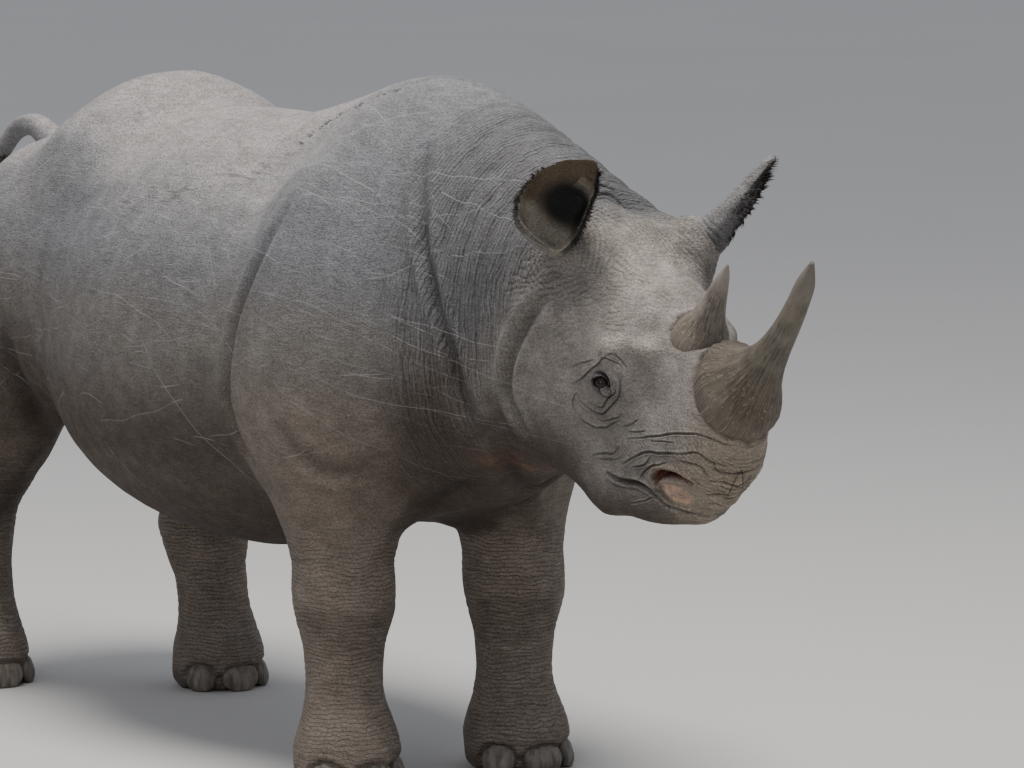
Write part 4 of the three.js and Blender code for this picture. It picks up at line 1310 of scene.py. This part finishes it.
def horn_piece(name, seed, facet):
    """A horn drawn finely through the part's own girths, with fibres, rings and wear."""
    rear, front, wide, length, lean, bend, tilt, girths = HORNS[name]
    sunk = 0.045
    around, rows = 100, 150
    angle = np.linspace(0, 2 * np.pi, around, endpoint=False)
    share = np.linspace(0, 0.998, rows)
    height = -sunk + (length + sunk) * share
    knots = np.linspace(0, 1, len(girths))
    eased = curve_through([(k, girth, 0) for k, girth in zip(knots, girths)], 8)
    girth = np.interp(share, eased[:, 0], eased[:, 1]).clip(0.004)
    up = np.clip(height / length, 0, 1)
    rowed = np.repeat(up, around)
    cos, sin = np.tile(np.cos(angle), rows), np.tile(np.sin(angle), rows)
    fibre = np.stack([cos, sin, rowed * 0.6], axis=1)
    rough = 0.014 * noise(fibre * [16, 16, 3], 1.0, seed) + 0.014 * noise(fibre * [42, 42, 5], 1.0, seed + 1)
    rough = rough * (1.3 - rowed) + 0.05 * clouds(fibre * [1.6, 1.6, 7], 1.0, seed + 2) * (1 - 0.6 * rowed)
    frayed = 0.02 * np.clip(noise(fibre * [9, 9, 14], 1.0, seed + 3), 0, 1) * hill(rowed, 0.14)
    grown = np.repeat(girth, around) * (1 + rough + frayed)
    ahead = (front - rear) / 2 * grown * cos
    if facet:
        worn = step(rowed, 0.70, 0.78) * step(rowed, 0.995, 0.96)
        limit = np.repeat((front - rear) / 2 * girth, around) * 0.55
        ahead -= worn * np.clip(ahead - limit, 0, None) * 0.9
    middle = np.repeat((rear + front) / 2 + lean * height - bend * height ** 2, around)
    high = np.repeat(0.020 + height, around) - tilt * ahead * np.exp(-4 * rowed)
    local = np.column_stack([middle + ahead, wide / 2 * grown * sin, high])
    local = np.concatenate([local, local[:around].mean(axis=0)[None], local[-around:].mean(axis=0)[None]])
    fibre = np.concatenate([fibre, [[0, 0, 0], [0, 0, 0.6]]])
    ob = mesh_object(name + "_outer", from_head(local), tube_faces(rows, around))
    paler = np.full(len(fibre), 0.0 if facet else 1.0)
    store(ob, "fibre", np.column_stack([fibre[:, :2], fibre[:, 2] / 0.6, paler]))
    ob.data.materials.append(HORN)
    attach(ob, "root")
    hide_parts(name)


def tube_faces(rows, around):
    """Triangles of a tube of rings; the two points after the rings close its foot and its tip."""
    row, column = np.meshgrid(np.arange(rows - 1), np.arange(around), indexing="ij")
    a = (row * around + column).ravel()
    b = (row * around + (column + 1) % around).ravel()
    ends = np.arange(around)
    onward = np.roll(ends, -1)
    foot, tip = rows * around, rows * around + 1
    last = (rows - 1) * around
    return np.concatenate([
        np.stack([a, b, b + around], axis=1),
        np.stack([a, b + around, a + around], axis=1),
        np.stack([onward, ends, np.full(around, foot)], axis=1),
        np.stack([last + ends, last + onward, np.full(around, tip)], axis=1),
    ])


def eye_piece(name):
    """A smooth eyeball with a slightly raised front, in place of the CAD one."""
    low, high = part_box(name)
    radius = (high.z - low.z) / 2
    side = -1 if name.endswith("right") else 1
    gaze = HEAD @ mirrored(np.array(EYE_GAZE), side)
    across = np.cross(gaze, [0, 0, 1.0])
    across /= np.linalg.norm(across)
    up = np.cross(across, gaze)
    rows, around = 58, 72
    # The rings run from the back of the ball to its front.
    turn = np.linspace(np.pi, 0, rows + 2)[1:-1]
    angle = np.linspace(0, 2 * np.pi, around, endpoint=False)
    size = radius * (1 + 0.07 * hill(turn, 0.42)) * 0.995
    circle = np.outer(np.cos(angle), up) + np.outer(np.sin(angle), across)
    rings = [gaze * np.cos(a) * r + circle * np.sin(a) * r for a, r in zip(turn, size)]
    points = np.concatenate(rings + [[-gaze * radius], [gaze * radius * 1.065]]) + box_centre(name)
    ob = mesh_object(name + "_ball", points, tube_faces(rows, around))
    store(ob, "reach", np.concatenate([np.repeat(turn, around), [np.pi, 0]]))
    ob.data.materials.append(EYE)
    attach(ob, "root")
    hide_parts(name)


def nail_piece(name):
    """A toenail rounded off the CAD one, with fine ridges."""
    points, squares = remeshed(*cad_arrays(name), 0.004)
    faces = np.concatenate([squares[:, [0, 1, 2]], squares[:, [0, 2, 3]]])
    pairs = neighbour_pairs(faces, len(points))
    points = relaxed(points, pairs, np.full(len(points), 7.0))
    normals = vertex_normals(points, faces)
    ridges = furrows(points[:, 2] / 0.012 + 0.4 * noise(points, 0.03, 141)) * 0.0009
    points = points + normals * (0.0012 - ridges + 0.0007 * noise(points, 0.012, 142))[:, None]
    points[:, 2] = np.maximum(points[:, 2], 0.0004)
    ob = mesh_object(name + "_horny", points, faces)
    ob.data.materials.append(NAIL)
    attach(ob, "root")
    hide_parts(name)


def bristles(name, roots, ways, lengths, width, droop, places):
    """Thin tapering tufts; each holds a small patch of the skin's flat map at its root."""
    count = len(roots)
    levels = np.array([0.0, 0.3, 0.6, 0.85, 1.0])
    thin = np.array([1.0, 0.85, 0.6, 0.32, 0.04])
    side = np.cross(ways, rng.normal(size=(count, 3)))
    side /= np.linalg.norm(side, axis=1, keepdims=True)
    other = np.cross(ways, side)
    rings = []
    for level, size in zip(levels, thin):
        middle = roots + ways * (lengths * level)[:, None] + droop * (lengths * level ** 2)[:, None]
        for k in range(3):
            a = 2 * np.pi * k / 3
            rings.append(middle + (side * math.cos(a) + other * math.sin(a)) * width * size)
    points = np.stack(rings, axis=1)
    per = points.shape[1]
    faces = []
    flat = []
    for level in range(len(levels) - 1):
        for k in range(3):
            a, b = level * 3 + k, level * 3 + (k + 1) % 3
            faces += [(a, b, b + 3), (a, b + 3, a + 3)]
            flat += [((k, level), (k + 1, level), (k + 1, level + 1)),
                     ((k, level), (k + 1, level + 1), (k, level + 1))]
    top = (len(levels) - 1) * 3
    faces += [(top, top + 1, top + 2), (2, 1, 0)]
    flat += [((0, 4), (1, 4), (2, 4)), ((2, 0), (1, 0), (0, 0))]
    faces = np.array(faces)
    patch = np.array(flat, float) / [3, 4] * 0.003
    all_faces = (faces[None] + (np.arange(count) * per)[:, None, None]).reshape(-1, 3)
    corners = (patch[None] + places[:, None, None, :]).reshape(-1, 3, 2)
    ob = mesh_object(name, points.reshape(-1, 3), all_faces, corners)
    ob.data.materials.append(BRISTLE)
    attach(ob, "root")
    return ob


def flat_places(skin, vertices):
    """Where the skin's flat map holds each of these points."""
    where = np.full((skin.count, 2), 0.5)
    where[skin.faces.ravel()] = skin.corners.reshape(-1, 2)
    return np.clip(where[vertices], 0.002, 0.995)


def ear_bristles(skin):
    """Short dark hairs along each ear's rim, longest at its tip."""
    for name in EARS:
        root, across, out, tip, length, _ = ear_axes(name)
        own = np.nonzero(skin.ear_edge > 0.3)[0]
        own = own[np.linalg.norm(skin.local[own] - root, axis=1) < length + 0.03]
        q = skin.local[own] - root
        high = (q @ tip) / length
        likely = step(high, 0.15, 0.45) * (0.5 + step(high, 0.6, 0.95)) * (q @ across > -0.03)
        chosen = rng.choice(own, EAR_HAIRS, p=likely / likely.sum())
        q = skin.local[chosen] - root
        away = q - 0.45 * length * tip
        away -= np.outer(away @ out, out)
        away /= np.linalg.norm(away, axis=1, keepdims=True)
        ways = away + 0.25 * out + rng.normal(0, 0.22, (len(chosen), 3))
        ways = (ways / np.linalg.norm(ways, axis=1, keepdims=True)) @ HEAD.T
        lengths = rng.uniform(0.006, 0.022, len(chosen)) * (0.7 + 1.0 * step((q @ tip) / length, 0.65, 1.0))
        bristles(name + "_fringe", skin.points[chosen] - ways * 0.002, ways, lengths, 0.0009,
                 np.array([0.1, 0, -0.25]), flat_places(skin, chosen))


def tail_bristles(skin):
    """The tuft at the tail's end, never longer than its height above the tip allows."""
    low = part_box("tail_tip")[0]
    end = np.nonzero(skin.tail & (skin.points[:, 2] < low.z + 0.14))[0]
    edge = rng.choice(end, TAIL_HAIRS)
    away = skin.normals[edge] + rng.normal(0, 0.25, (len(edge), 3)) + [-0.15, 0, -1.5]
    away /= np.linalg.norm(away, axis=1, keepdims=True)
    lengths = rng.uniform(0.05, 0.13, len(edge))
    floor_room = skin.points[edge, 2] - low.z + 0.02
    bristles("tail_tuft", skin.points[edge], away, np.minimum(lengths, floor_room + 0.03), 0.0014,
             np.array([-0.1, 0, -0.2]), flat_places(skin, edge))


def lashes(skin):
    """Short lashes on the upper lid."""
    along, up, out = eye_axes()
    for side, name in ((-1, "eye_right"), (1, "eye_left")):
        q = mirrored(skin.local, side) - mirrored(to_head(box_centre(name)[None])[0], side)
        u, v, w = q @ along, q @ up, q @ out
        rim = np.hypot(u / LID_WIDE, v / LID_HIGH)
        near = np.nonzero((rim > 1.0) & (rim < 1.3) & (w > 0.012) & (v > 0.004))[0]
        chosen = rng.choice(near, LASHES)
        way = out + np.outer(v[chosen] * 40, up) + rng.normal(0, 0.15, (LASHES, 3))
        way /= np.linalg.norm(way, axis=1, keepdims=True)
        bristles(name + "_lashes", skin.points[chosen], mirrored(way, side) @ HEAD.T,
                 rng.uniform(0.005, 0.010, LASHES), 0.0005, np.array([0, 0, -0.5]), flat_places(skin, chosen))


# ---- the stage -------------------------------------------------------------------------------------------

def stage():
    """Floor, pale sky and two soft lamps."""
    floor = mesh_object("floor", np.array([(-60, -60, 0), (60, -60, 0), (60, 60, 0), (-60, 60, 0)], float),
                        np.array([[0, 1, 2, 3]]), smooth=False)
    floor.data.materials.append(floor_material())
    world = bpy.data.worlds.new("studio")
    world.use_nodes = True
    world.node_tree.nodes["Background"].inputs[0].default_value = (0.86, 0.90, 1.0, 1)
    world.node_tree.nodes["Background"].inputs[1].default_value = 0.55
    bpy.context.scene.world = world
    soft_lamp("key", (0.6, -1.0, 7.5), (0.0, 0.0, 0.9), 3.2, 640.0, (1.0, 0.97, 0.92))
    soft_lamp("fill", (7.0, -8.5, 3.5), (0.0, 0.0, 0.9), 5.0, 140.0, (1.0, 0.98, 0.95))


def soft_lamp(name, at, target, size, power, colour):
    """A round lamp aimed at a target."""
    data = bpy.data.lights.new(name, "AREA")
    data.shape = "DISK"
    data.size = size
    data.energy = power
    data.color = colour
    lamp = bpy.data.objects.new(name, data)
    lamp.location = at
    lamp.rotation_mode = "QUATERNION"
    lamp.rotation_quaternion = (Vector(target) - Vector(at)).to_track_quat("-Z", "Y")
    bpy.context.scene.collection.objects.link(lamp)


def camera():
    """A long lens from above head height, looking a little down."""
    data = bpy.data.cameras.new("camera")
    data.sensor_width = 36
    data.lens = CAMERA_LENS
    data.clip_end = 500
    ob = bpy.data.objects.new("camera", data)
    back = Vector((math.sin(CAMERA_AZIMUTH) * math.cos(CAMERA_DOWN),
                   -math.cos(CAMERA_AZIMUTH) * math.cos(CAMERA_DOWN), math.sin(CAMERA_DOWN)))
    ob.location = CAMERA_AT
    ob.rotation_mode = "QUATERNION"
    ob.rotation_quaternion = (-back).to_track_quat("-Z", "Y")
    bpy.context.scene.collection.objects.link(ob)
    bpy.context.scene.camera = ob


# ---- making it all ---------------------------------------------------------------------------------------

HIDE = hide_material()
HORN = horn_material()
NAIL = nail_material()
EYE = eye_material()
BRISTLE = bristle_material()

camera()
stage()
skin = shaped_skin()
hide = marked_skin(skin)
hide.data.materials.append(HIDE)
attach(hide, "root")
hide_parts(*FLESH)
horn_piece("horn_front", 151, True)
horn_piece("horn_rear", 161, False)
for eye_name in ("eye_right", "eye_left"):
    eye_piece(eye_name)
for node_name in sorted(NODES):
    if node_name.startswith("nail"):
        nail_piece(node_name)
ear_bristles(skin)
tail_bristles(skin)
lashes(skin)
